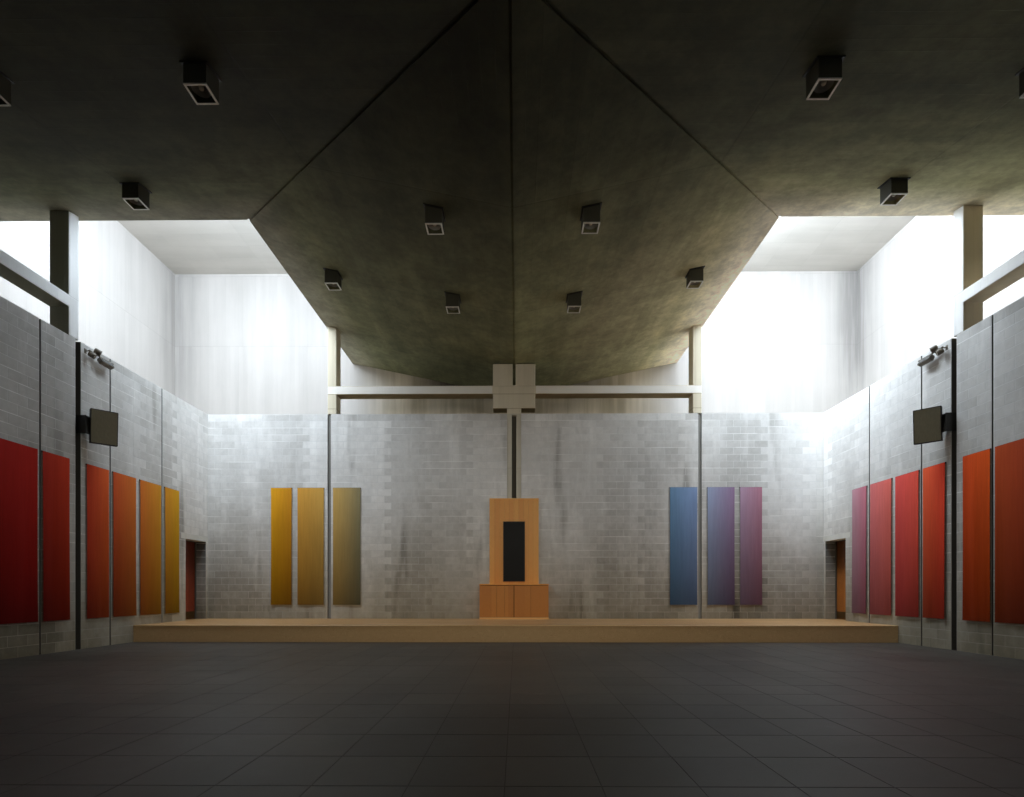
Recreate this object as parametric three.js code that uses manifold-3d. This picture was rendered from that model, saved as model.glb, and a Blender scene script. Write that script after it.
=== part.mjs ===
// The hall of a modern church: concrete block walls, a folded concrete roof in the plan of a cross,
// and a light tower over each of the four corners that the cross leaves.
// Millimetres, +Z up. The origin is the middle of the floor slab's underside, and +Y points to the platform.
import * as THREE from "three";
import { mergeVertices } from "three/addons/utils/BufferGeometryUtils.js";
import Module from "manifold-3d";

const wasm = await Module();
wasm.setup();

// Levels. FLOOR is the top of the floor slab, and the other heights count from it.
const FLOOR = 200;
const COURSE = 203.2;
const PLATFORM_TOP = FLOOR + 406;
const WALL_TOP = FLOOR + Math.round(32 * COURSE);
const KEEL = FLOOR + 7975;
const ARM_EDGE = FLOOR + 9155;
const TOWER_SOFFIT = FLOOR + 12290;

// Plan. The hall is measured to the room's faces of its block walls.
const HALL_HALF_WIDTH = 9144;
const HALL_HALF_LENGTH = 10210;
const BLOCK_WALL = 406;
const CORRIDOR_SIDE_FACE = 11850;
const CORRIDOR_END_FACE = 12920;
const OUTER_WALL = 300;
const PLATFORM_FRONT = 7070;
const ARM_HALF_WIDTH = 5640;

// Flat faces that meet after a cut keep this gap.
const GAP = 0.3;

// Roof plates, their kerbs and the tower roofs.
const ROOF_PLATE = 250;
const KERB_WIDTH = 200;
const KERB_HEIGHT = 400;
const TOWER_ROOF = 300;
const TOWER_POST = 120;
const GLASS = 30;
const GLASS_SETBACK = 35;
const SEAM_WIDTH = 40;
const SEAM_DEPTH = 25;
const CORRIDOR_ROOF = 200;

// Ceiling light boxes, as [distance along the arm, distance from its keel].
const LIGHT_PLACES = [
  [4200, 1450],
  [7100, 1450],
  [7150, 4350],
];
const LIGHT_SIZE = 300;
const LIGHT_DROP = 310;
const LIGHT_RIM = 25;
const LIGHT_RECESS = 240;

// The frame on each block wall: end columns, a beam and the bracket under the keel.
const COLUMN_WIDTH = 260;
const BEAM_BOTTOM = FLOOR + 7090;
const BEAM_TOP = FLOOR + 7340;
const STEM_WIDTH = 420;
const BRACKET_WIDTH = 1260;
const BRACKET_BOTTOM = FLOOR + 6660;
const BRACKET_SLOT = 90;
const BRACKET_SLOT_BOTTOM = FLOOR + 7350;
const STEM_SLOT = 130;
const STEM_SLOT_DEPTH = 100;
const STEM_SLOT_TOP = FLOOR + 6450;

// Joints in the block walls.
const WIDE_JOINT_DEPTH = 200;
const NARROW_JOINT = 40;
const NARROW_JOINT_DEPTH = 60;

// Doorways and doors.
const DOORWAY_START = 9120;
const DOORWAY_END = 10110;
const DOORWAY_HEIGHT = 2286;
const LEAF_CLEARANCE = 6;
const LATCH_CLEARANCE = 10;
const LEAF_THICKNESS = 60;
const LEAF_SETBACK = 10;
const KNUCKLE_RADIUS = 10;
const KNUCKLE_HEIGHT = 60;
const KNUCKLE_OUT = 16;
const KNUCKLE_PLATE = 50;
const HINGE_HEIGHTS = [250, 1950];
const KNOB_RADIUS = 28;
const KNOB_REACH = 55;
const KNOB_HEIGHT = 1020;
const KNOB_INSET = 80;
const OUTER_DOOR_START = 8700;
const OUTER_DOOR_END = 10500;
const OUTER_DOOR_THICKNESS = 60;

// Fittings on the platform wall and the side walls.
const CABINET = { width: 2010, depth: 450, height: 1030, gap: 12, recess: 15, foot: 60 };
const CABINET_LINES = [-502, -270, 0, 485];
const BACKING = { width: 1460, thickness: 50, top: FLOOR + 3980 };
const BLACK_BOARD = { width: 643, thickness: 25, bottom: FLOOR + 1510, top: FLOOR + 3290 };
const SPEAKER = { width: 480, depth: 200, height: 715 };
const SPEAKER_FACE = { out: 364, along: 5685, level: FLOOR + 4742, turn: -0.811, tilt: 0.14 };
const SPEAKER_ARM = { width: 70, thickness: 80, height: 400, start: 5400, end: 5650, out: 184 };

const concrete = new THREE.MeshStandardMaterial({ color: 0xb9b5ab, roughness: 0.9, metalness: 0 });
const ceiling = new THREE.MeshStandardMaterial({ color: 0x8a8478, roughness: 0.92, metalness: 0 });
const block = new THREE.MeshStandardMaterial({ color: 0xa9adb0, roughness: 0.95, metalness: 0 });
const floorFinish = new THREE.MeshStandardMaterial({ color: 0x9c9184, roughness: 0.7, metalness: 0 });
const platformFinish = new THREE.MeshStandardMaterial({ color: 0xc29a6b, roughness: 0.6, metalness: 0 });
const wood = new THREE.MeshStandardMaterial({ color: 0xb9722f, roughness: 0.5, metalness: 0 });
const blackBoard = new THREE.MeshStandardMaterial({ color: 0x17130f, roughness: 0.7, metalness: 0 });
const speakerCloth = new THREE.MeshStandardMaterial({ color: 0x5d594e, roughness: 0.85, metalness: 0 });
const glazing = new THREE.MeshStandardMaterial({
  color: 0xdfe8ea,
  roughness: 0.05,
  metalness: 0,
  transparent: true,
  opacity: 0.35,
});

const hall = new THREE.Group();

// Each side has axes of its own: s along its wall, d outwards from the middle of the hall, and z up.
const SIDES = {
  far: { along: [1, 0, 0], out: [0, 1, 0], wall: HALL_HALF_LENGTH, shell: CORRIDOR_END_FACE },
  rear: { along: [-1, 0, 0], out: [0, -1, 0], wall: HALL_HALF_LENGTH, shell: CORRIDOR_END_FACE },
  left: { along: [0, 1, 0], out: [-1, 0, 0], wall: HALL_HALF_WIDTH, shell: CORRIDOR_SIDE_FACE },
  right: { along: [0, -1, 0], out: [1, 0, 0], wall: HALL_HALF_WIDTH, shell: CORRIDOR_SIDE_FACE },
};

function add(name, geometry, material, side) {
  const mesh = new THREE.Mesh(geometry, material);
  mesh.name = name;
  if (side) {
    const along = new THREE.Vector3(...side.along);
    const out = new THREE.Vector3(...side.out);
    mesh.applyMatrix4(new THREE.Matrix4().makeBasis(along, out, new THREE.Vector3(0, 0, 1)));
  }
  hall.add(mesh);
}

function block3([x0, x1], [y0, y1], [z0, z1]) {
  const geometry = new THREE.BoxGeometry(x1 - x0, y1 - y0, z1 - z0);
  return geometry.translate((x0 + x1) / 2, (y0 + y1) / 2, (z0 + z1) / 2);
}

// A plan outline raised from one level to another.
function raised(points, bottom, top, hole) {
  const shape = new THREE.Shape(points.map(([x, y]) => new THREE.Vector2(x, y)));
  if (hole) {
    shape.holes.push(new THREE.Path(hole.map(([x, y]) => new THREE.Vector2(x, y))));
  }
  const geometry = new THREE.ExtrudeGeometry(shape, { depth: top - bottom, bevelEnabled: false });
  return geometry.translate(0, 0, bottom);
}

// An outline in the plane of a wall, with s along it and z up, given a thickness from d0 to d1.
function upright(points, [d0, d1]) {
  const shape = new THREE.Shape(points.map(([s, z]) => new THREE.Vector2(s, z)));
  const geometry = new THREE.ExtrudeGeometry(shape, { depth: d1 - d0, bevelEnabled: false });
  const s = new THREE.Vector3(1, 0, 0);
  const z = new THREE.Vector3(0, 0, 1);
  const inwards = new THREE.Vector3(0, -1, 0);
  return geometry.applyMatrix4(new THREE.Matrix4().makeBasis(s, z, inwards).setPosition(0, d1, 0));
}

function mirrored(points) {
  const other = points.map(([s, z]) => [-s, z]).reverse();
  return [...points, ...other];
}

function solid(geometry) {
  const bare = geometry.clone();
  bare.deleteAttribute("normal");
  bare.deleteAttribute("uv");
  const merged = mergeVertices(bare, 1e-3);
  const mesh = new wasm.Mesh({
    numProp: 3,
    vertProperties: new Float32Array(merged.attributes.position.array),
    triVerts: new Uint32Array(merged.index.array),
  });
  return new wasm.Manifold(mesh);
}

function surface(manifold) {
  const mesh = manifold.getMesh();
  const geometry = new THREE.BufferGeometry();
  geometry.setAttribute("position", new THREE.BufferAttribute(mesh.vertProperties, 3));
  geometry.setIndex(new THREE.BufferAttribute(mesh.triVerts, 1));
  const faceted = geometry.toNonIndexed();
  faceted.computeVertexNormals();
  return faceted;
}

// One solid with others joined to it, and then others cut from it.
function made(first, joined, cut) {
  let result = solid(first);
  for (const piece of joined) {
    result = result.add(solid(piece));
  }
  for (const piece of cut) {
    result = result.subtract(solid(piece));
  }
  return surface(result);
}

// The height of the folded roof's underside at a distance s from a keel.
function underside(s) {
  return KEEL + ((ARM_EDGE - KEEL) * Math.abs(s)) / ARM_HALF_WIDTH;
}

const SHELL_X = CORRIDOR_SIDE_FACE + OUTER_WALL;
const SHELL_Y = CORRIDOR_END_FACE + OUTER_WALL;
const BLOCK_OUT_X = HALL_HALF_WIDTH + BLOCK_WALL;
const BLOCK_OUT_Y = HALL_HALF_LENGTH + BLOCK_WALL;
const KERB_TOP = ARM_EDGE + KERB_HEIGHT;
const TOWER_EDGE = ARM_HALF_WIDTH - KERB_WIDTH;

// Floors: the slab under the whole building, and the platform with the corridor floor behind it.
add("floor_slab", block3([-SHELL_X, SHELL_X], [-SHELL_Y, SHELL_Y], [0, FLOOR]), floorFinish);

function platform() {
  const outline = mirrored([
    [CORRIDOR_SIDE_FACE, CORRIDOR_END_FACE],
    [CORRIDOR_SIDE_FACE, PLATFORM_FRONT],
    [BLOCK_OUT_X, PLATFORM_FRONT],
    [BLOCK_OUT_X, DOORWAY_START],
    [HALL_HALF_WIDTH, DOORWAY_START],
    [HALL_HALF_WIDTH, PLATFORM_FRONT],
  ]);
  const farWall = mirrored([
    [HALL_HALF_WIDTH, HALL_HALF_LENGTH],
    [HALL_HALF_WIDTH, DOORWAY_END],
    [BLOCK_OUT_X, DOORWAY_END],
    [BLOCK_OUT_X, BLOCK_OUT_Y],
  ]);
  return raised(outline, FLOOR, PLATFORM_TOP, farWall);
}

add("platform", platform(), platformFinish);

// Block walls. A wide joint is an open groove, closed at its back by a tongue of the next panel.
function panel(side, [s0, s1], options) {
  const inner = side.wall;
  const outer = side.wall + BLOCK_WALL;
  const height = [options.bottom ?? FLOOR, WALL_TOP];
  const joined = (options.tongues ?? []).map((s) =>
    block3(s, [inner + WIDE_JOINT_DEPTH, outer], height),
  );
  const grooves = (options.grooves ?? []).map((s) =>
    block3(
      [s - NARROW_JOINT / 2, s + NARROW_JOINT / 2],
      [inner - 1, inner + NARROW_JOINT_DEPTH],
      [FLOOR - 1, WALL_TOP + 1],
    ),
  );
  const doorways = (options.doorways ?? []).map((s) =>
    block3(s, [inner - 1, outer + 1], [FLOOR - 1, FLOOR + DOORWAY_HEIGHT]),
  );
  return made(block3([s0, s1], [inner, outer], height), joined, [...grooves, ...doorways]);
}

const STEM_SIDE = STEM_WIDTH / 2 + GAP;
const END_JOINT = [5460, 5560];
const SIDE_JOINT = [5365, 5505];
const MID_GROOVE = 4530;
const END_GROOVES = [6330, 8120];

function flip([s0, s1]) {
  return [-s1, -s0];
}

for (const name of ["far", "rear"]) {
  const side = SIDES[name];
  const half = [STEM_SIDE, END_JOINT[0]];
  const end = [END_JOINT[1], HALL_HALF_WIDTH];
  add(`${name}_wall_a`, panel(side, flip(end), {}), block, side);
  add(`${name}_wall_b`, panel(side, flip(half), { tongues: [flip(END_JOINT)] }), block, side);
  add(`${name}_wall_c`, panel(side, half, { tongues: [END_JOINT] }), block, side);
  add(`${name}_wall_d`, panel(side, end, {}), block, side);
}

for (const name of ["left", "right"]) {
  const side = SIDES[name];
  const toFar = name === "left" ? 1 : -1;
  const turned = (range) => (toFar > 0 ? range : flip(range));
  const opposite = (range) => (toFar > 0 ? flip(range) : range);
  const half = [STEM_SIDE, SIDE_JOINT[0]];
  const farEnd = [SIDE_JOINT[1], DOORWAY_START];
  const rearEnd = [SIDE_JOINT[1], BLOCK_OUT_Y];
  const doorway = [DOORWAY_START, DOORWAY_END];
  const farPanel = {
    tongues: [turned(SIDE_JOINT)],
    grooves: [toFar * MID_GROOVE],
  };
  const rearPanel = {
    tongues: [opposite(SIDE_JOINT)],
    grooves: [-toFar * MID_GROOVE],
  };
  const rearEndPanel = {
    grooves: END_GROOVES.map((s) => -toFar * s),
    doorways: [opposite(doorway)],
  };
  add(`${name}_wall_far`, panel(side, turned(half), farPanel), block, side);
  add(`${name}_wall_rear`, panel(side, opposite(half), rearPanel), block, side);
  const farGrooves = { grooves: END_GROOVES.map((s) => toFar * s) };
  add(`${name}_wall_far_end`, panel(side, turned(farEnd), farGrooves), block, side);
  add(`${name}_wall_rear_end`, panel(side, opposite(rearEnd), rearEndPanel), block, side);

  const lintel = turned([DOORWAY_START, BLOCK_OUT_Y]);
  const lintelBottom = { bottom: PLATFORM_TOP + DOORWAY_HEIGHT };
  add(`${name}_doorway_lintel`, panel(side, lintel, lintelBottom), block, side);
  add(`${name}_doorway_pier`, pier(side, toFar), block, side);
  add(`${name}_platform_door`, leaf(side, toFar, PLATFORM_TOP, true), wood, side);
  add(`${name}_rear_door`, leaf(side, -toFar, FLOOR, false), wood, side);
}

// Half of a hinge: a knuckle on its pin's line, with the plate that fixes it.
function knuckle(sign, hingeLine, [plate0, plate1], [d0, d1], bottom, facing) {
  const axis = facing + KNUCKLE_OUT;
  const barrel = new THREE.CylinderGeometry(KNUCKLE_RADIUS, KNUCKLE_RADIUS, KNUCKLE_HEIGHT, 16);
  barrel.rotateX(Math.PI / 2);
  barrel.translate(sign * hingeLine, axis, bottom + KNUCKLE_HEIGHT / 2);
  const range = sign > 0 ? [plate0, plate1] : [-plate1, -plate0];
  return [barrel, block3(range, [d0, d1], [bottom, bottom + KNUCKLE_HEIGHT])];
}

// The short wall between a platform doorway and the hall's corner, with its half of the hinges.
function pier(side, sign) {
  const outer = side.wall + BLOCK_WALL;
  const range = sign > 0 ? [DOORWAY_END, BLOCK_OUT_Y] : [-BLOCK_OUT_Y, -DOORWAY_END];
  const body = block3(range, [side.wall, outer], [FLOOR, PLATFORM_TOP + DOORWAY_HEIGHT]);
  const line = DOORWAY_END - LEAF_CLEARANCE / 2;
  const hinges = HINGE_HEIGHTS.flatMap((height) => {
    const bottom = PLATFORM_TOP + height - KNUCKLE_HEIGHT - GAP;
    const plate = [DOORWAY_END, DOORWAY_END + KNUCKLE_PLATE];
    return knuckle(sign, line, plate, [outer - 2, outer + KNUCKLE_OUT], bottom, outer);
  });
  return made(body, hinges, []);
}

// A door leaf at the corridor side of its doorway, with knobs and, where it swings, its hinge knuckles.
function leaf(side, sign, sill, swings) {
  const outer = side.wall + BLOCK_WALL;
  const clearance = swings ? LEAF_CLEARANCE : GAP;
  const start = DOORWAY_START + (swings ? LATCH_CLEARANCE : GAP);
  const end = DOORWAY_END - clearance;
  const range = sign > 0 ? [start, end] : [-end, -start];
  const depth = [outer - LEAF_SETBACK - LEAF_THICKNESS, outer - LEAF_SETBACK];
  const height = [sill + (swings ? LEAF_CLEARANCE : 0), sill + DOORWAY_HEIGHT - clearance];
  const knob = new THREE.CylinderGeometry(KNOB_RADIUS, KNOB_RADIUS, LEAF_THICKNESS + 2 * KNOB_REACH, 24);
  knob.translate(sign * (start + KNOB_INSET), (depth[0] + depth[1]) / 2, sill + KNOB_HEIGHT);
  const joined = [knob];
  if (swings) {
    const line = DOORWAY_END - LEAF_CLEARANCE / 2;
    for (const hinge of HINGE_HEIGHTS) {
      const plate = [end - KNUCKLE_PLATE, end];
      const reach = [depth[1] - 2, outer + KNUCKLE_OUT + KNUCKLE_RADIUS / 2];
      joined.push(...knuckle(sign, line, plate, reach, sill + hinge, outer));
    }
  }
  return made(block3(range, depth, height), joined, []);
}

// The frame over each block wall. Its stem runs down between the two middle panels.
function frame(side, columnStart) {
  const columnEnd = columnStart + COLUMN_WIDTH;
  const foot = WALL_TOP + GAP;
  const bracketTop = underside(BRACKET_SLOT / 2) - GAP;
  const outline = mirrored([
    [STEM_WIDTH / 2, FLOOR],
    [STEM_WIDTH / 2, BRACKET_BOTTOM],
    [BRACKET_WIDTH / 2, BRACKET_BOTTOM],
    [BRACKET_WIDTH / 2, BEAM_BOTTOM],
    [columnStart, BEAM_BOTTOM],
    [columnStart, foot],
    [columnEnd, foot],
    [columnEnd, underside(columnEnd) - GAP],
    [columnStart, underside(columnStart) - GAP],
    [columnStart, BEAM_TOP],
    [BRACKET_WIDTH / 2, BEAM_TOP],
    [BRACKET_WIDTH / 2, bracketTop],
    [BRACKET_SLOT / 2, bracketTop],
    [BRACKET_SLOT / 2, BRACKET_SLOT_BOTTOM],
  ]);
  const slot = block3(
    [-STEM_SLOT / 2, STEM_SLOT / 2],
    [side.wall - 1, side.wall + STEM_SLOT_DEPTH],
    [FLOOR - 1, STEM_SLOT_TOP],
  );
  return made(upright(outline, [side.wall, side.wall + BLOCK_WALL]), [], [slot]);
}

for (const [name, side] of Object.entries(SIDES)) {
  const columnStart = side.wall === HALL_HALF_LENGTH ? 5300 : 5200;
  add(`${name}_frame`, frame(side, columnStart), concrete, side);
}

// One arm of the folded roof, from the middle of the hall to the outer wall.
function roofArm(side) {
  const reach = side.shell - GAP;
  const fold = underside(TOWER_EDGE) + ROOF_PLATE;
  const half = [
    [ARM_HALF_WIDTH, ARM_EDGE],
    [ARM_HALF_WIDTH, KERB_TOP],
    [TOWER_EDGE, KERB_TOP],
    [TOWER_EDGE, fold],
  ];
  const otherHalf = half.map(([s, z]) => [-s, z]).reverse();
  const section = [[0, KEEL], ...half, [0, KEEL + ROOF_PLATE], ...otherHalf];
  const plan = mirrored([
    [ARM_HALF_WIDTH, ARM_HALF_WIDTH + GAP],
    [ARM_HALF_WIDTH, reach],
  ]);
  plan.push([0, GAP]);
  const wedge = solid(raised(plan, 0, TOWER_SOFFIT));
  const plate = solid(upright(section, [0, reach])).intersect(wedge);
  const grooves = [seam(0, reach, 0), seam(0, ARM_HALF_WIDTH, 1), seam(0, ARM_HALF_WIDTH, -1)];
  let result = plate;
  for (const groove of grooves) {
    result = result.subtract(solid(groove));
  }
  for (const [d, s] of LIGHT_PLACES) {
    result = lightBox(lightBox(result, s, d), -s, d);
  }
  return surface(result);
}

// The cutter for the thin joint along a keel (lean 0) or along a diagonal crease (lean 1 or -1).
function seam(from, to, lean) {
  const half = SEAM_WIDTH / 2;
  const rise = lean === 0 ? 0 : underside(to) - KEEL;
  const outline = [
    [from - half, KEEL - SEAM_DEPTH],
    [to + half, KEEL - SEAM_DEPTH + rise],
    [to + half, KEEL + SEAM_DEPTH + rise],
    [from - half, KEEL + SEAM_DEPTH],
  ];
  const geometry = upright(outline, [-half, half]);
  if (lean === 0) {
    return geometry.rotateZ(Math.PI / 2);
  }
  const shear = new THREE.Matrix4().set(1, -1, 0, 0, 1, 1, 0, 0, 0, 0, 1, 0, 0, 0, 0, 1);
  const mirror = lean > 0 ? 0 : Math.PI / 2;
  return geometry.applyMatrix4(shear).rotateZ(mirror);
}

// A square light box that hangs from the roof, open below.
function lightBox(plate, s, d) {
  const half = LIGHT_SIZE / 2;
  const inside = half - LIGHT_RIM;
  const low = underside(Math.abs(s) - half);
  const bottom = underside(s) - LIGHT_DROP;
  const body = block3([s - half, s + half], [d - half, d + half], [bottom, low + ROOF_PLATE / 2]);
  const recess = [bottom - 1, bottom + LIGHT_RECESS];
  const hollow = block3([s - inside, s + inside], [d - inside, d + inside], recess);
  return plate.add(solid(body)).subtract(solid(hollow));
}

for (const [name, side] of Object.entries(SIDES)) {
  add(`${name}_roof`, roofArm(side), ceiling, side);
}

// Outer walls, tall where they are walls of a tower and with a low parapet at the arms.
function outerWall(side, halfLength, doorways) {
  const outline = mirrored([
    [halfLength, FLOOR],
    [halfLength, TOWER_SOFFIT],
    [TOWER_EDGE, TOWER_SOFFIT],
    [TOWER_EDGE, KERB_TOP],
  ]);
  const body = upright(outline, [side.shell, side.shell + OUTER_WALL]);
  const cut = doorways.map((s) =>
    block3(s, [side.shell - 1, side.shell + OUTER_WALL + 1], [FLOOR - 1, FLOOR + DOORWAY_HEIGHT]),
  );
  return made(body, [], cut);
}

function outerDoor(side, range) {
  const middle = (range[0] + range[1]) / 2;
  const depth = [side.shell + OUTER_WALL / 2, side.shell + OUTER_WALL / 2 + OUTER_DOOR_THICKNESS];
  const pair = block3([range[0] + GAP, range[1] - GAP], depth, [FLOOR, FLOOR + DOORWAY_HEIGHT - GAP]);
  const line = block3(
    [middle - LEAF_CLEARANCE / 2, middle + LEAF_CLEARANCE / 2],
    [depth[1] - LEAF_THICKNESS / 2, depth[1] + 1],
    [FLOOR - 1, FLOOR + DOORWAY_HEIGHT],
  );
  return made(pair, [], [line]);
}

add("far_outer_wall", outerWall(SIDES.far, SHELL_X, []), concrete, SIDES.far);
add("rear_outer_wall", outerWall(SIDES.rear, SHELL_X, []), concrete, SIDES.rear);
for (const name of ["left", "right"]) {
  const side = SIDES[name];
  const doorway = [OUTER_DOOR_START, OUTER_DOOR_END];
  const range = name === "left" ? flip(doorway) : doorway;
  add(`${name}_outer_wall`, outerWall(side, CORRIDOR_END_FACE, [range]), concrete, side);
  add(`${name}_outer_door`, outerDoor(side, range), wood, side);
}

// The corridor's roof, a ring between the block walls and the outer walls.
function rectangle(x, y) {
  return [
    [-x, -y],
    [x, -y],
    [x, y],
    [-x, y],
  ];
}

const ring = raised(
  rectangle(CORRIDOR_SIDE_FACE, CORRIDOR_END_FACE),
  WALL_TOP - CORRIDOR_ROOF,
  WALL_TOP,
  rectangle(BLOCK_OUT_X, BLOCK_OUT_Y),
);
add("corridor_roof", ring, concrete);

// Tower roofs, each with the post under its inner corner, and the glass on the towers' two inner sides.
function corner(points, right, far) {
  const placed = points.map(([x, y]) => [right * x, far * y]);
  return right * far > 0 ? placed : placed.reverse();
}

for (const [lengthName, far] of [["far", 1], ["rear", -1]]) {
  for (const [sideName, right] of [["left", -1], ["right", 1]]) {
    const name = `${lengthName}_${sideName}`;
    const edge = TOWER_EDGE;
    const roof = corner([[edge, edge], [SHELL_X, edge], [SHELL_X, SHELL_Y], [edge, SHELL_Y]], right, far);
    const foot = edge + TOWER_POST;
    const post = corner([[edge, edge], [foot, edge], [foot, foot], [edge, foot]], right, far);
    const slab = raised(roof, TOWER_SOFFIT + GAP, TOWER_SOFFIT + TOWER_ROOF);
    const shaft = raised(post, KERB_TOP + GAP, TOWER_SOFFIT + TOWER_ROOF / 2);
    add(`${name}_tower_roof`, made(slab, [shaft], []), concrete);

    const back = ARM_HALF_WIDTH - GLASS_SETBACK;
    const front = back - GLASS;
    const glass = corner(
      [
        [front, front],
        [CORRIDOR_SIDE_FACE - GAP, front],
        [CORRIDOR_SIDE_FACE - GAP, back],
        [back, back],
        [back, CORRIDOR_END_FACE - GAP],
        [front, CORRIDOR_END_FACE - GAP],
      ],
      right,
      far,
    );
    add(`${name}_tower_glass`, raised(glass, KERB_TOP + GAP, TOWER_SOFFIT), glazing);
  }
}

// The wooden cabinet with its backing panel and black board, against the platform wall.
function cabinet() {
  const { width, depth, height, gap, recess, foot } = CABINET;
  const back = HALL_HALF_LENGTH;
  const body = block3([-width / 2, width / 2], [back - depth, back], [PLATFORM_TOP, PLATFORM_TOP + height]);
  const lines = CABINET_LINES.map((x) =>
    block3(
      [x - gap / 2, x + gap / 2],
      [back - depth - 1, back - depth + recess],
      [PLATFORM_TOP + foot, PLATFORM_TOP + height + 1],
    ),
  );
  return made(body, [], lines);
}

add("cabinet", cabinet(), wood);
const backingFace = HALL_HALF_LENGTH - BACKING.thickness;
const backing = block3(
  [-BACKING.width / 2, BACKING.width / 2],
  [backingFace, HALL_HALF_LENGTH],
  [PLATFORM_TOP + CABINET.height, BACKING.top],
);
add("backing_panel", backing, wood);
const board = block3(
  [-BLACK_BOARD.width / 2, BLACK_BOARD.width / 2],
  [backingFace - BLACK_BOARD.thickness, backingFace],
  [BLACK_BOARD.bottom, BLACK_BOARD.top],
);
add("black_board", board, blackBoard);

// A loudspeaker box turned and tilted towards the seats, on an arm out of the side wall's wide joint.
function speaker(side, sign) {
  const { width, depth, height } = SPEAKER;
  const { out, along, level, turn, tilt } = SPEAKER_FACE;
  const arm = SPEAKER_ARM;
  const wall = side.wall;
  const box = block3([-width / 2, width / 2], [0, depth], [-height / 2, height / 2]);
  box.rotateX(tilt);
  box.rotateZ(sign * turn);
  box.translate(sign * along, wall - out, level);
  const tall = [level - arm.height / 2, level + arm.height / 2];
  const ordered = (range) => (sign > 0 ? range : flip(range));
  const inJoint = block3(
    ordered([arm.start, arm.start + arm.width]),
    [wall - arm.out, wall + WIDE_JOINT_DEPTH - GAP],
    tall,
  );
  const toBox = block3(
    ordered([arm.start, arm.end]),
    [wall - arm.out, wall - arm.out + arm.thickness],
    tall,
  );
  return made(box, [inJoint, toBox], []);
}

add("left_speaker", speaker(SIDES.left, 1), speakerCloth, SIDES.left);
add("right_speaker", speaker(SIDES.right, -1), speakerCloth, SIDES.right);

export default hall;
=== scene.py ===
# The hall of a modern church, dressed: block walls, board-marked concrete, a dark folded ceiling
# and a light tower over each corner. Metres, in the frame's axes: +Y points to the platform.
import math

import bpy
import numpy as np
from mathutils import Matrix, Vector


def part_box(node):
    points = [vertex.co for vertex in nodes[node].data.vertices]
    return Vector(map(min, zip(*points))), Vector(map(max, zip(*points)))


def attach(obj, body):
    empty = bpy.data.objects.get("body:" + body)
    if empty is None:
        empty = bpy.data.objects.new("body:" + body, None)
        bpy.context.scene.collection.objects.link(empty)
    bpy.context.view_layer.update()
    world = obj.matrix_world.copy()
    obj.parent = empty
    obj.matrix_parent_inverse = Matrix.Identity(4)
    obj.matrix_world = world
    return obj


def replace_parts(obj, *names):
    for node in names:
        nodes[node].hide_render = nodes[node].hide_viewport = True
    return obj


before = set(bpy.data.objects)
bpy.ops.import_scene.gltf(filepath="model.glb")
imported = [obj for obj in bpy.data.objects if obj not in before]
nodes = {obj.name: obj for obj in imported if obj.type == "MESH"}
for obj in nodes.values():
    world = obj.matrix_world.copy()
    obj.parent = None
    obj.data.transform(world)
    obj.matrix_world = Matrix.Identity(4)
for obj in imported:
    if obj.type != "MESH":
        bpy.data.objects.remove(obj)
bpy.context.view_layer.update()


# Where the photograph was taken: low down in the rear half of the hall, looking level at the
# platform through a wide lens, which is raised to take in the ceiling.
EYE = (0.076, -5.832, 1.43)
EYE_TURN = 0.0086
lens = bpy.data.cameras.new("camera")
lens.sensor_width = 36
lens.lens = 18.97
lens.shift_y = 0.188
camera = bpy.data.objects.new("camera", lens)
camera.location = EYE
camera.rotation_euler = (math.pi / 2, 0, EYE_TURN)
bpy.context.scene.collection.objects.link(camera)
bpy.context.scene.camera = camera


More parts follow.
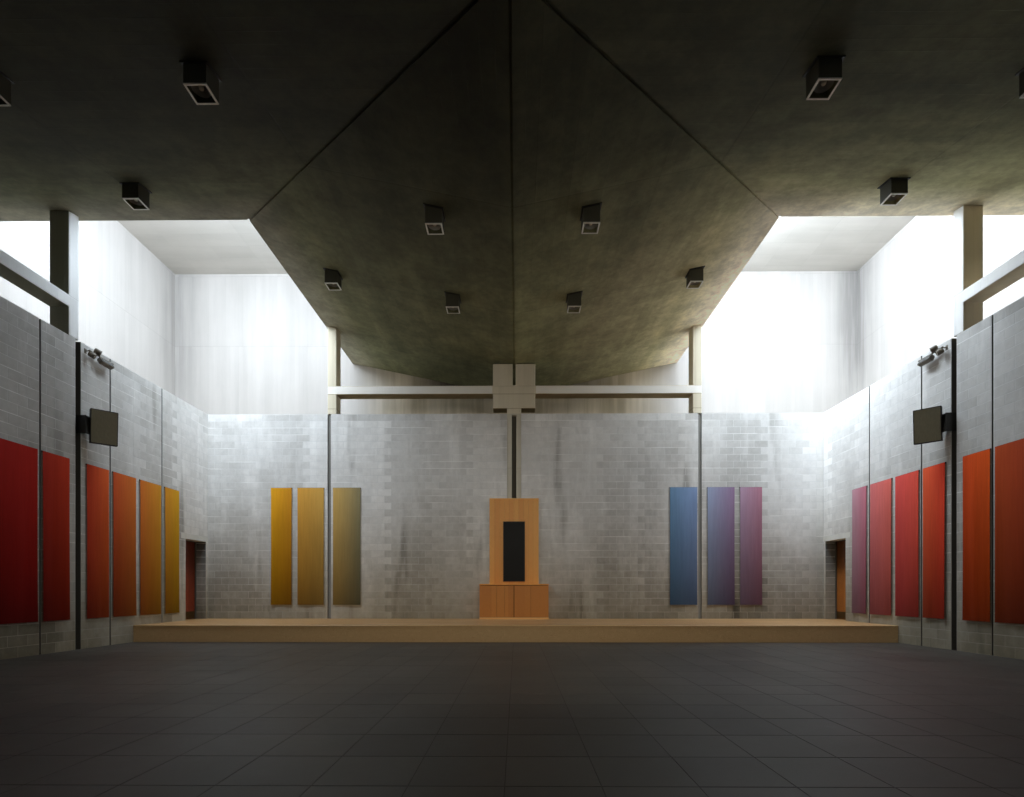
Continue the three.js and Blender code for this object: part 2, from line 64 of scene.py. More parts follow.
# The frames, outer walls and tower roofs are concrete cast against upright sawn boards, in lifts
# as high as a day's pour. The boards leave thin fins and their grain, and rain and lime streak them.
class Wire:
    """A socket of a finish's nodes, so that shader maths is written as expressions."""

    def __init__(self, tree, socket):
        self.tree = tree
        self.socket = socket

    def node(self, kind, settings=None, sockets=None, out=0):
        made = self.tree.nodes.new(kind)
        for name, value in (settings or {}).items():
            setattr(made, name, value)
        for name, value in (sockets or {}).items():
            if isinstance(value, Wire):
                self.tree.links.new(value.socket, made.inputs[name])
            else:
                made.inputs[name].default_value = value
        return Wire(self.tree, made.outputs[out])

    def maths(self, operation, *values):
        return self.node("ShaderNodeMath", {"operation": operation}, dict(enumerate(values)))

    def __add__(self, other):
        return self.maths("ADD", self, other)

    def __sub__(self, other):
        return self.maths("SUBTRACT", self, other)

    def __rsub__(self, other):
        return self.maths("SUBTRACT", other, self)

    def __mul__(self, other):
        return self.maths("MULTIPLY", self, other)

    def __truediv__(self, other):
        return self.maths("DIVIDE", self, other)

    __radd__ = __add__
    __rmul__ = __mul__

    def size(self):
        return self.maths("ABSOLUTE", self)

    def parts(self):
        split = self.node("ShaderNodeSeparateXYZ", sockets={0: self}).socket.node
        return [Wire(self.tree, socket) for socket in split.outputs]

    def scaled(self, x, y, z):
        return self.node("ShaderNodeVectorMath", {"operation": "MULTIPLY"}, {0: self, 1: (x, y, z)})

    def rising(self, low, high):
        """0 up to low and 1 from high, with an eased rise between."""
        sockets = {"Value": self, "From Min": low, "From Max": high}
        return self.node("ShaderNodeMapRange", {"interpolation_type": "SMOOTHSTEP"}, sockets)

    def cloud(self, scale, detail=3.0, roughness=0.55):
        sockets = {"Vector": self, "Scale": scale, "Detail": detail, "Roughness": roughness}
        return self.node("ShaderNodeTexNoise", sockets=sockets)

    def chance(self):
        """A random number from 0 to 1 for each whole number of this one."""
        whole = self.maths("FLOOR", self)
        return self.node("ShaderNodeTexWhiteNoise", {"noise_dimensions": "1D"}, {"W": whole})

    def least(self, other):
        return self.maths("MINIMUM", self, other)

    def most(self, other):
        return self.maths("MAXIMUM", self, other)

    def edge(self):
        """1 where this number is whole, falling to 0 halfway to the next."""
        return (self.maths("FRACT", self) - 0.5).size() * 2

    def mix(self, low, high):
        return self.node("ShaderNodeMix", {"data_type": "RGBA"}, {0: self, 6: low, 7: high}, out=2)

    def tinted(self, share):
        """This colour made lighter or darker by a share, which is 1 for no change."""
        sockets = {0: self, 3: share}
        return self.node("ShaderNodeVectorMath", {"operation": "SCALE"}, sockets)


def tint(red, green, blue):
    """A colour as a paint card gives it, from 0 to 255, in linear light."""
    shares = [channel / 255 for channel in (red, green, blue)]
    linear = [share / 12.92 if share < 0.04 else ((share + 0.055) / 1.055) ** 2.4 for share in shares]
    return (*linear, 1)


def new_finish(name):
    """A bare finish: its material, its shader, and the place in the frame of each point."""
    material = bpy.data.materials.new(name)
    material.use_nodes = True
    tree = material.node_tree
    place = Wire(tree, tree.nodes.new("ShaderNodeTexCoord").outputs["Object"])
    return material, tree.nodes["Principled BSDF"], place


def apply_finish(shader, colour, roughness, relief=None, depth=0.001):
    """Leads a colour, a roughness and a relief of some depth in metres into a finish's shader."""
    colour.tree.links.new(colour.socket, shader.inputs["Base Color"])
    colour.tree.links.new(roughness.socket, shader.inputs["Roughness"])
    if relief:
        bump = relief.node("ShaderNodeBump", {}, {"Height": relief, "Distance": depth})
        bump.tree.links.new(bump.socket, shader.inputs["Normal"])


def boarded_concrete(name, pale, dark, run, board=0.15, lift=2.44, marks=1.0, painted_light_and_wear=None, sheen=0):
    """Concrete off boards that run up a wall, or along x or y under a roof. Marks is how strongly the
    boards and lifts show. A function may be given that changes the colour by place, with painted light
    and shade as well as stains."""
    material, shader, place = new_finish(name)
    x, y, z = place.parts()
    across, along = {"up": (x + y, z - 0.2), "x": (y, x), "y": (x, y)}[run]
    boards = across / board
    pour = along / lift
    tone = (boards + pour.maths("FLOOR", pour) * 37).chance()
    grain_scale = {"up": (30, 30, 1.5), "x": (1.5, 30, 30), "y": (30, 1.5, 30)}[run]
    streak_scale = {"up": (2.2, 2.2, 0.22), "x": (0.3, 1.6, 1), "y": (1.6, 0.3, 1)}[run]
    grain = place.scaled(*grain_scale).cloud(4, 4)
    streaks = place.scaled(*streak_scale).cloud(1, 5, 0.6)
    cloudy = place.cloud(0.45, 4)
    pores = place.cloud(90, 2).rising(0.66, 0.74)
    fins = boards.edge().rising(0.9, 0.99)
    joint = pour.edge().rising(0.985, 0.999)
    print_off = (tone * 0.22 - fins * 0.10 - joint * 0.25 + grain * 0.16) * marks
    shade = print_off + streaks * 0.7 + cloudy * 0.5 - pores * 0.2
    colour = (shade - 0.30 + 0.1 * (1 - marks)).mix(dark, pale)
    # Painted light and shade, and stains, by place.
    if painted_light_and_wear:
        colour = painted_light_and_wear(place, colour)
    apply_finish(shader, colour, 0.82 + cloudy * 0.14, fins * 0.8 + tone * 0.5 - joint * 1.6, 0.003 * marks)
    shader.inputs["Specular IOR Level"].default_value = sheen
    return material


def dress(material, names):
    for name in names:
        mesh = nodes[name].data
        mesh.materials.clear()
        mesh.materials.append(material)


SIDES = ("far", "rear", "left", "right")
TOWERS = [f"{end}_{side}" for end in ("far", "rear") for side in ("left", "right")]
WALL_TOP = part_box("far_wall_a")[1].z
SHELL_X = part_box("right_outer_wall")[0].x
SHELL_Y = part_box("far_outer_wall")[0].y
FRAME_FACE = -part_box("left_frame")[1].x
STEM_SLOT = 0.065
BEAM_UNDER = 7.290
BEAM_TOP = 7.540
BRACKET_UNDER = 6.860
BRACKET_HALF = 0.630
ARM_EDGE = 9.355


def stem_light_and_shade(place, colour):
    """Below the wall tops the frames' stems are darker and greyer, and painted shade darkens their slots.
    Painted light lightens the beams, and painted shade makes the undersides of beams and brackets brown."""
    x, y, z = place.parts()
    aside = x.size().least(y.size())
    below = 1 - z.rising(WALL_TOP - 0.01, WALL_TOP + 0.01)
    # Painted shade darkens the slots.
    slot = 1 - aside.rising(STEM_SLOT, STEM_SLOT + 0.002)
    slot = slot * (1 - z.rising(WALL_TOP - 0.06, WALL_TOP - 0.05))
    # Painted shade: the undersides of beams and brackets are dark brown.
    painted_underside_shade = 1 - (z - BEAM_UNDER).size().least((z - BRACKET_UNDER).size()).rising(0.004, 0.009)
    lit_and_shaded = below.mix(colour, colour.scaled(0.84, 0.86, 0.90)).tinted(1 - slot * 0.78)
    # Painted light: the beams are lightened nearly to white.
    painted_beam_light = (z - (BEAM_UNDER + BEAM_TOP) / 2).size().rising(0.10, 0.12)
    painted_beam_light = (1 - painted_beam_light) * aside.rising(BRACKET_HALF + 0.01, BRACKET_HALF + 0.03)
    lit_and_shaded = (painted_beam_light * 0.8).mix(lit_and_shaded, tint(254, 250, 244))
    return painted_underside_shade.mix(lit_and_shaded, lit_and_shaded.scaled(0.52, 0.44, 0.32))


def side_frame_light_and_shade(place, colour):
    """Above the wall tops, painted light makes the side frames' faces towards the hall nearly white. Their
    other faces are darker with painted shade on the left frame and lighter with painted light on the
    right one. Below the wall tops they are like the end frames' stems.
    """
    x, y, z = place.parts()
    painted_hall_face_light = 1 - x.size().rising(FRAME_FACE + 0.006, FRAME_FACE + 0.010)
    over_wall = z.rising(WALL_TOP, WALL_TOP + 0.01)
    # Painted shade darkens the left frame's faces, and painted light lightens the right one's.
    across = x.rising(-1, 1).mix(colour.scaled(0.42, 0.46, 0.47), colour.scaled(1.08, 1.02, 0.96))
    across = over_wall.mix(stem_light_and_shade(place, colour), across)
    # Painted light: above the wall tops the faces towards the hall are nearly white.
    return (painted_hall_face_light * over_wall * 0.85).mix(across, tint(250, 250, 250))


def wall_light_and_shade(place, colour):
    """Inside, between the towers, painted warm light makes the outer walls lighter and warmer in streaks,
    and painted shade darkens them near the ceiling over the beams. Painted shade darkens them down the
    towers' corners, broken by streaks. Outside, and over the roof, they are grey."""
    x, y, z = place.parts()
    aside = x.size().least(y.size())
    inside = 1 - (x.size() - SHELL_X).most(y.size() - SHELL_Y).rising(0.05, 0.1)
    between = inside * (1 - aside.rising(3.6, 5.7)) * (1 - z.rising(ARM_EDGE + 0.005, ARM_EDGE + 0.045))
    streaks = place.scaled(3.4, 3.4, 0.2).cloud(1, 4, 0.6).rising(0.38, 0.62)
    apart = (SHELL_X - x.size()).most(SHELL_Y - y.size())
    # Painted shade down the towers' corners, broken by streaks, stronger on the right and higher up.
    corner = (1 - apart.rising(0.1, 1.2)) * (0.5 + streaks * 0.5) * (0.26 + x.rising(-1, 1) * 0.18)
    corner = inside * corner * (0.25 + z.rising(7.4, 9.8) * 0.75)
    colour = colour.tinted(1 - corner)
    # Painted warm light: lighter and warmer between the towers, in streaks.
    painted_warm_light = streaks.mix(colour.scaled(1.22, 1.10, 0.84), colour.scaled(1.54, 1.42, 1.18))
    # Painted shade under the ceiling's edge over the beams, stronger on the left.
    painted_ceiling_shade = z.rising(7.95, 8.45) * (1 - aside.rising(2.3, 4.2)) * (0.84 - x.rising(-1, 1) * 0.24)
    painted_warm_light = painted_warm_light.tinted(1 - painted_ceiling_shade)
    return between.mix(inside.mix(colour.scaled(0.81, 0.83, 0.81), colour), painted_warm_light)


fair_tints = tint(246, 237, 215), tint(204, 193, 169)
dress(boarded_concrete("fair concrete", *fair_tints, "up", painted_light_and_wear=stem_light_and_shade), ["far_frame", "rear_frame"])
dress(boarded_concrete("side concrete", *fair_tints, "up", painted_light_and_wear=side_frame_light_and_shade), ["left_frame", "right_frame"])
wall_tints = tint(207, 201, 196), tint(172, 167, 162)
wall_concrete = boarded_concrete("wall concrete", *wall_tints, "up", marks=0.7, painted_light_and_wear=wall_light_and_shade)
dress(wall_concrete, [f"{side}_outer_wall" for side in SIDES])
soffit_tints = tint(212, 206, 198), tint(172, 167, 159)
soffit_concrete = boarded_concrete("soffit concrete", *soffit_tints, "x", 0.6, 1.22, 0.5)
dress(soffit_concrete, [f"{tower}_tower_roof" for tower in TOWERS] + ["corridor_roof"])


def plane_arrises(name, width):
    """Takes the sharp edges off a piece as fillets in its formwork do."""
    piece = nodes[name]
    weld = piece.modifiers.new("joined faces", "WELD")
    weld.merge_threshold = 0.0001
    flat = piece.modifiers.new("whole faces", "DECIMATE")
    flat.decimate_type = "DISSOLVE"
    flat.angle_limit = math.radians(0.5)
    bevel = piece.modifiers.new("arrises", "BEVEL")
    bevel.width = width
    bevel.segments = 1
    bevel.limit_method = "ANGLE"
    bevel.angle_limit = math.radians(30)


for side in SIDES:
    plane_arrises(f"{side}_frame", 0.012)


# The walls are hollow concrete blocks, 16 by 8 inches, in running bond with flush pale joints.
# They come from different batches, so patches of the wall differ, and each block has its own tone.
FLOOR_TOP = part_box("floor_slab")[1].z
PLATFORM_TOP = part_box("platform")[1].z
HALL_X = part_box("right_wall_far")[0].x
HALL_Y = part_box("far_wall_a")[0].y
DOORWAY = (9.120, 10.110)
LEAF_FACE = 9.480
COURSE = 0.2032
MORTAR_JOINT = 0.010
BLOCK_PROUD = 0.002
BLOCK = {
    "length": 2 * COURSE,
    "height": COURSE,
    "joint": MORTAR_JOINT,
    "proud": BLOCK_PROUD,
    "arris": 0.002,
    "bond": 0.5,
    "batch": (1.22, 6.4),
}


def lime_lines(place, course, low, high):
    """How much lime has bloomed along the bed joints, which it does on some stretches of some courses."""
    bed = ((place.parts()[2] - FLOOR_TOP) / course).edge().rising(low, high)
    return bed * place.scaled(1, 1, 9).cloud(0.8, 2).rising(0.53, 0.63)


def stain_and_floor_shade(place):
    """The cloudy stain of a wall, and how far soil and painted shade darken it towards the floor."""
    stain = place.scaled(1, 1, 0.35).cloud(0.5, 3)
    # Soil and painted shade, rising through the stain from the floor.
    return stain, 1 - (place.parts()[2] + stain * 2).rising(0.4, 6.0)


def hall_light_and_shade(place, floor_soil_and_shade):
    """How much painted light lightens the hall's blocks in its lightest corner, and how much painted shade
    darkens them: on the far wall's right wing and a stretch of its middle, on the side walls, and in the
    doorways' reveals, most near their heads. Soil and painted shade darken the foot of the far wall's ends."""
    x, y, z = place.parts()
    in_doors = x.size().rising(LEAF_FACE + 0.12, LEAF_FACE + 0.22)
    hall = (1 - in_doors) * (1 - y.size().rising(HALL_Y + 0.1, HALL_Y + 0.2))
    # Painted light: the blocks near the platform's right corner are lighter.
    painted_corner_light = hall * x.rising(7.2, 8.8) * y.rising(6.4, 8.6)
    far_wall = hall * y.rising(HALL_Y - 0.06, HALL_Y - 0.02)
    painted_wing_shade = far_wall * x.rising(5.4, 6.6)
    # Soil and painted shade at the foot of the far wall's ends.
    foot = far_wall * floor_soil_and_shade * x.size().rising(5.8, 7.6) * (1 + painted_wing_shade * 0.4)
    # Painted shade on the side walls, and in the doorways' reveals, most near their heads.
    painted_side_wall_shade = hall * x.size().rising(HALL_X - 0.06, HALL_X - 0.03) * (1 - y.rising(5.0, 8.6))
    reveal = hall * x.size().rising(HALL_X + 0.004, HALL_X + 0.02) * (1.4 + z.rising(1.3, 2.9) * 1.8)
    # Painted shade on a stretch of the far wall's middle.
    painted_middle_shade = far_wall * x.rising(0.2, 1.6) * (1 - x.rising(4.2, 5.4)) * (1 - z.rising(4.8, 6.4))
    painted_shade_and_soil = foot + reveal + painted_wing_shade * 0.4 + painted_side_wall_shade * (0.76 - x.rising(-1, 1) * 0.18)
    return painted_corner_light, painted_shade_and_soil * 0.26 + painted_middle_shade * 0.17


def block_face(name, pale, dark, soil_and_shade_tint):
    """Blocks of many tones, with damp streaks, darkening towards the floor with soil and painted shade."""
    material, shader, place = new_finish(name)
    tone = place.node("ShaderNodeAttribute", {"attribute_name": "tone"}, out=2)
    speckle = place.cloud(140, 2)
    mottle = place.cloud(7, 4, 0.6)
    stain, floor_soil_and_shade = stain_and_floor_shade(place)
    # Painted light in the hall's lightest corner, and painted shade with some soil on other stretches.
    painted_corner_light, painted_shade_and_soil = hall_light_and_shade(place, floor_soil_and_shade)
    damp = place.scaled(1, 1, 0.14).cloud(1.1, 3).rising(0.58, 0.72) * (1 - painted_corner_light)
    washed = place.scaled(1, 1, 0.22).cloud(2.3, 5, 0.62).rising(0.50, 0.66)
    pits = place.cloud(70, 3).rising(0.62, 0.7)
    shade = tone * 0.58 + mottle * 0.45 + stain * 0.9 + speckle * 0.3 + washed * 0.15
    shade = shade - damp * 0.65 - pits * 0.15 - 0.60
    # Soil and painted shade take over towards the floor.
    colour = (floor_soil_and_shade * 0.95).mix((shade + painted_corner_light * 0.25).mix(dark, pale), soil_and_shade_tint)
    marks = lime_lines(place, COURSE, 0.84, 0.93) * 0.2 + (shade - 0.5) * floor_soil_and_shade * 0.85
    apply_finish(shader, colour.tinted(1 + marks - painted_shade_and_soil), 0.86 + mottle * 0.12)
    shader.inputs["Specular IOR Level"].default_value = 0
    return material


def bedding(name, pale, dark, hollow, soil_and_shade_tint, course):
    """The bed between the blocks: lime lines show along some of its courses, and the backs of the
    open joints between wall panels are dark."""
    material, shader, place = new_finish(name)
    x, y, z = place.parts()
    past = (x.size() - HALL_X).most(y.size() - HALL_Y)
    doorway = y.size().rising(DOORWAY[0] - 0.12, DOORWAY[0] - 0.07)
    doorway = doorway * (1 - y.size().rising(HALL_Y - 0.02, HALL_Y))
    open_joint = past.rising(0.004, 0.012) * (1 - past.rising(0.3, 0.31)) * (1 - doorway)
    sand = place.cloud(300, 2)
    lime = lime_lines(place, course, 0.92, 0.945)
    plain = (sand * 0.6 + place.cloud(1.2) * 0.6 - 0.1).mix(dark, pale)
    # Soil and painted shade darken the bed towards the floor, as they do the blocks.
    floor_soil_and_shade = stain_and_floor_shade(place)[1] * 0.9
    colour = open_joint.mix(floor_soil_and_shade.mix(lime.mix(plain, pale), soil_and_shade_tint), hollow)
    apply_finish(shader, colour, 0.9 + sand * 0.08)
    shader.inputs["Specular IOR Level"].default_value = 0
    return material


def new_piece(name, vertices, faces, materials, body, face_finish=None):
    """Makes one piece of the hall from its mesh, and seats it on a body of the frame."""
    mesh = bpy.data.meshes.new(name)
    mesh.from_pydata(vertices, [], faces)
    for material in materials:
        mesh.materials.append(material)
    if face_finish is not None:
        mesh.polygons.foreach_set("material_index", face_finish)
    made = bpy.data.objects.new(name, mesh)
    bpy.context.scene.collection.objects.link(made)
    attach(made, body)
    return made


def lay_units(name, face, panels, unit, material, seed):
    """Lays blocks, tiles or boards in rows on panels of one face: each (start, end, bottom, top). The
    seed draws how proud each unit stands and its tone."""
    random = np.random.default_rng(seed)
    length, height, joint = unit["length"], unit["height"], unit["joint"]
    spans = []
    for start, end, bottom, top in panels:
        first = math.floor((bottom - face["base"]) / height + 0.01)
        last = math.ceil((top - face["base"]) / height - 0.01)
        for row in range(first, last):
            low = max(bottom, face["base"] + row * height)
            high = min(top, face["base"] + (row + 1) * height)
            shift = (row * unit["bond"]) % 1 * length
            whole = np.arange(math.ceil(start / length) - 1, math.floor(end / length) + 2)
            joints = whole * length + shift
            inner = joints[(joints > start + 0.06) & (joints < end - 0.06)]
            ends = [start, *inner, end]
            spans += [(a, b, low, high) for a, b in zip(ends, ends[1:])]
    spans = np.array(spans)
    count = len(spans)
    inwards = np.array([1, -1, 1, -1])
    body = spans + inwards * joint / 2
    front = body + inwards * unit["arris"]
    proud = unit["proud"] + random.uniform(-0.2, 0.2, count) * unit["proud"]
    rings = ((body, np.full(count, -0.004)), (body, proud - unit["arris"] / 2), (front, proud))
    along, up, out, origin = (np.array(face[key]) for key in ("along", "up", "out", "origin"))
    corners = []
    for outline, depth in rings:
        for s, t in ((0, 2), (1, 2), (1, 3), (0, 3)):
            flat = np.outer(outline[:, s], along) + np.outer(outline[:, t], up)
            corners.append(origin + flat + np.outer(depth, out))
    vertices = np.stack(corners, axis=1).reshape(-1, 3)
    ring = [(a + k, a + (k + 1) % 4, a + 4 + (k + 1) % 4, a + 4 + k) for a in (0, 4) for k in range(4)]
    pattern = np.array([(3, 2, 1, 0), *ring, (8, 9, 10, 11)])
    if np.dot(np.cross(along, up), out) < 0:
        pattern = pattern[:, ::-1]
    faces = (pattern[None] + 12 * np.arange(count)[:, None, None]).reshape(-1, 4)
    made = new_piece(name, vertices.tolist(), faces.tolist(), [material], "building")
    tone = random.beta(2, 2, count)
    if "batch" in unit:
        wide, high = unit["batch"]
        column = np.floor(spans[:, :2].mean(axis=1) / wide).astype(int)
        lift = np.floor(spans[:, 2:].mean(axis=1) / high).astype(int)
        batches = random.uniform(0, 1, 4096)
        tone = 0.32 * tone + 0.68 * batches[(column * 7 + lift * 131) % 4096]
    attribute = made.data.attributes.new("tone", "FLOAT", "FACE")
    attribute.data.foreach_set("value", np.repeat(tone, len(pattern)))
    return made


# Soil and painted shade: the colour the blocks darken to towards the floor.
block_soil_and_shade = tint(146, 136, 113)
grey_block = block_face("grey block", tint(249, 247, 244), tint(178, 175, 170), block_soil_and_shade)
bed_tints = tint(240, 240, 239), tint(196, 195, 192), tint(98, 95, 90)
wall_mortar = bedding("wall mortar", *bed_tints, tint(160, 149, 132), COURSE)
block_nodes = [name for name in nodes if "_wall_" in name or "_doorway_" in name]
dress(wall_mortar, block_nodes)

STEM_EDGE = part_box("far_wall_c")[0].x
END_JOINT = (5.460, 5.560)
SIDE_JOINT = (5.365, 5.505)
SIDE_GROOVES = (4.530, 6.330, 8.120)
GROOVE_WIDTH = 0.040
DOOR_HEIGHT = 2.286
LINTEL = 12 * COURSE - DOOR_HEIGHT
LINTEL_BEARING = COURSE
REVEAL_END = LEAF_FACE - 0.006
PLATFORM_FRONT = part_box("platform")[0].y


def both_ways(panels):
    return panels + [(-end, -start, bottom, top) for start, end, bottom, top in panels]


UPRIGHT = {"up": (0, 0, 1), "base": FLOOR_TOP}
end_panels = [(STEM_EDGE, END_JOINT[0]), (END_JOINT[1], HALL_X - BLOCK_PROUD)]
for name, bottom, sign in (("far", PLATFORM_TOP, 1), ("rear", FLOOR_TOP, -1)):
    panels = both_ways([(start, end, bottom, WALL_TOP) for start, end in end_panels])
    face = {**UPRIGHT, "origin": (0, sign * HALL_Y, 0), "along": (1, 0, 0), "out": (0, -sign, 0)}
    lay_units(f"{name}_wall_blocks", face, panels, BLOCK, grey_block, 11 + sign)


def side_panels(sill, floor_from):
    """One half of a side wall, from the middle of the hall to its corner, on the sill from floor_from."""
    head = sill + DOOR_HEIGHT
    half = GROOVE_WIDTH / 2
    runs = [
        (STEM_EDGE, SIDE_GROOVES[0] - half),
        (SIDE_GROOVES[0] + half, SIDE_JOINT[0]),
        (SIDE_JOINT[1], SIDE_GROOVES[1] - half),
        (SIDE_GROOVES[1] + half, floor_from),
        (floor_from, SIDE_GROOVES[2] - half),
        (SIDE_GROOVES[2] + half, DOORWAY[0] - LINTEL_BEARING),
    ]
    panels = [(a, b, sill if a >= floor_from else FLOOR_TOP, WALL_TOP) for a, b in runs]
    lintel_top = head + LINTEL
    panels.append((DOORWAY[0] - LINTEL_BEARING, DOORWAY[0], sill, head))
    panels.append((DOORWAY[0] - LINTEL_BEARING, HALL_Y, lintel_top, WALL_TOP))
    panels.append((DOORWAY[1], HALL_Y, sill, head))
    return panels


for name, sign in (("left", -1), ("right", 1)):
    rear_half = [(-b, -a, low, high) for a, b, low, high in side_panels(FLOOR_TOP, PLATFORM_FRONT)]
    panels = side_panels(PLATFORM_TOP, PLATFORM_FRONT) + rear_half
    face = {**UPRIGHT, "origin": (sign * HALL_X, 0, 0), "along": (0, 1, 0), "out": (-sign, 0, 0)}
    lay_units(f"{name}_wall_blocks", face, panels, BLOCK, grey_block, 21 + sign)


WHOLE_BLOCK = {**BLOCK, "length": 3.0, "bond": 0}
DOORWAYS = [
    (hand, side, place, end, sill)
    for hand, side in (("left", -1), ("right", 1))
    for place, end, sill in (("platform", 1, PLATFORM_TOP), ("rear", -1, FLOOR_TOP))
]
for hand, side, place, end, sill in DOORWAYS:
    for number, (jamb, way) in enumerate(((DOORWAY[0], 1), (DOORWAY[1], -1)), 1):
        start, stop = sorted((side * (HALL_X - MORTAR_JOINT / 2), side * REVEAL_END))
        reveal = {**UPRIGHT, "origin": (0, end * jamb, 0), "along": (1, 0, 0), "out": (0, end * way, 0)}
        panel = [(start, stop, sill, sill + DOOR_HEIGHT)]
        title = f"{hand}_{place}_reveal_{number}"
        lay_units(title, reveal, panel, WHOLE_BLOCK, grey_block, 32 + number)


# A precast concrete lintel spans each doorway, with its face flush with the blocks beside it.
# It fills the course that the doorway's head leaves cut, and bears one half block into the wall.
CORNERS = np.array([(x, y, z) for x in (-1, 1) for y in (-1, 1) for z in (-1, 1)])
RING = ((-1, -1), (1, -1), (1, 1), (-1, 1))


def planed_faces():
    """The outward faces of a box with its edges planed off, on three vertices to each corner."""
    faces = [[3 * corner, 3 * corner + 1, 3 * corner + 2] for corner in range(8)]
    for axis in range(3):
        first, second = [other for other in range(3) if other != axis]

        def corner(end, pair):
            signs = {axis: end, first: pair[0], second: pair[1]}
            return sum(4 // 2**a for a in range(3) if signs[a] > 0)

        for end in (-1, 1):
            faces.append([3 * corner(end, pair) + axis for pair in RING])
        for pair in RING:
            low, high = 3 * corner(-1, pair), 3 * corner(1, pair)
            faces.append([low + first, high + first, high + second, low + second])
    points = planed_corners(np.ones(3), 0.2)
    for face in faces:
        normal = np.cross(points[face[1]] - points[face[0]], points[face[2]] - points[face[0]])
        if np.dot(normal, points[face].mean(axis=0)) < 0:
            face.reverse()
    return faces


def planed_corners(half, arris):
    points = np.repeat(CORNERS * (half - arris), 3, axis=0).reshape(8, 3, 3)
    for axis in range(3):
        points[:, axis, axis] = CORNERS[:, axis] * half[axis]
    return points.reshape(-1, 3)


PLANED_FACES = planed_faces()


class Work:
    """Planed boxes and turned parts, gathered into the mesh of one piece."""

    def __init__(self):
        self.vertices = []
        self.faces = []
        self.finishes = []

    def add(self, vertices, faces, finish=0, place=None):
        start = len(self.vertices)
        place = place or Matrix.Identity(4)
        order = 1 if place.determinant() > 0 else -1
        self.vertices += [place @ Vector(vertex) for vertex in vertices]
        self.faces += [[start + index for index in face[::order]] for face in faces]
        self.finishes += [finish] * len(faces)

    def box(self, one, other, arris=0.002, finish=0, place=None):
        one, other = np.array(one, float), np.array(other, float)
        half = np.abs(other - one) / 2
        arris = min(arris, 0.45 * half.min())
        vertices = (one + other) / 2 + planed_corners(half, arris)
        self.add(vertices.tolist(), PLANED_FACES, finish, place)

    def turned(self, profile, start, towards, finish=0, sides=20, place=None):
        """A lathe-turned part: its profile gives (distance from its start, radius) along its axis."""
        axis = Vector(towards).to_track_quat("Z", "Y").to_matrix().to_4x4()
        seat = (place or Matrix.Identity(4)) @ Matrix.Translation(Vector(start)) @ axis
        vertices, faces = [(0, 0, profile[0][0])], []
        for distance, radius in profile:
            turns = [2 * math.pi * k / sides for k in range(sides)]
            vertices += [(radius * math.cos(t), radius * math.sin(t), distance) for t in turns]
        vertices.append((0, 0, profile[-1][0]))
        for k in range(sides):
            step = (k + 1) % sides
            faces.append([0, 1 + step, 1 + k])
            for ring in range(len(profile) - 1):
                low, high = 1 + ring * sides, 1 + (ring + 1) * sides
                faces.append([low + k, low + step, high + step, high + k])
            last = 1 + (len(profile) - 1) * sides
            faces.append([last + k, last + step, len(vertices) - 1])
        self.add(vertices, faces, finish, seat)

    def piece(self, name, materials, body, slot):
        made = new_piece(name, self.vertices, self.faces, materials, body, self.finishes)
        made.data.shade_smooth()
        made.data.set_sharp_from_angle(angle=math.radians(32))
        return made


lintels = Work()
for hand, side, place, end, sill in DOORWAYS:
    head = sill + DOOR_HEIGHT
    low = (side * (HALL_X - BLOCK_PROUD), end * (DOORWAY[0] - LINTEL_BEARING), head)
    high = (side * (HALL_X + 0.001), end * (HALL_Y - BLOCK_PROUD), head + LINTEL - MORTAR_JOINT)
    lintels.box(low, high, 0.003)
    soffit_low = (side * HALL_X, end * DOORWAY[0], head - 0.003)
    lintels.box(soffit_low, (side * REVEAL_END, end * DOORWAY[1], head + 0.01), 0.002)
precast = boarded_concrete("precast concrete", tint(236, 234, 226), tint(196, 193, 184), "up", 1.2, 9)
lintels.piece("doorway_lintels", [precast], "building", "concrete")


# The wide joints of the platform wall and of the rear wall are closed by a strip of painted board,
# set back from the blocks' faces. Those of the side walls stay open as far as the next panel's tongue.
def enamel(name, pale, dark, gloss=0.45, metal=0):
    """Stoved paint, or another smooth finish such as metal or vinyl, faintly uneven and dulled."""
    material, shader, place = new_finish(name)
    peel = place.cloud(220, 2)
    dull = place.cloud(3, 4)
    colour = (dull * 0.8 + peel * 0.2).mix(dark, pale)
    apply_finish(shader, colour, gloss + dull * 0.18, peel, 0.0002)
    shader.inputs["Metallic"].default_value = metal
    return material


filler_board = enamel("joint board", tint(150, 147, 141), tint(128, 125, 119), gloss=0.85)
fillers = Work()
for side in (-1, 1):
    for end, foot in ((1, PLATFORM_TOP), (-1, FLOOR_TOP)):
        low = (side * (END_JOINT[0] - 0.001), end * (HALL_Y + 0.045), foot + 0.004)
        high = (side * (END_JOINT[1] + 0.001), end * (HALL_Y + 0.070), WALL_TOP - 0.012)
        fillers.box(low, high, 0.002)
fillers.piece("joint_boards", [filler_board], "building", "block")


# The hall's floor doesn't show in the photograph, so plain dark cement tiles, two feet square, stand
# for it. They lie on the slab with narrow joints, and feet have worn a dull polish into them.
def cement_tile():
    material, shader, place = new_finish("cement tile")
    tone = place.node("ShaderNodeAttribute", {"attribute_name": "tone"}, out=2)
    mottle = place.cloud(9, 5, 0.65)
    worn = place.cloud(0.6, 3)
    grit = place.cloud(160, 2)
    shade = tone * 0.5 + mottle * 0.6 + grit * 0.25 + worn * 0.3 - 0.35
    colour = shade.mix(tint(48, 44, 39), tint(76, 71, 64))
    apply_finish(shader, colour, 0.38 + worn * 0.2 + mottle * 0.12, grit * 0.4 + mottle * 0.3, 0.001)
    return material


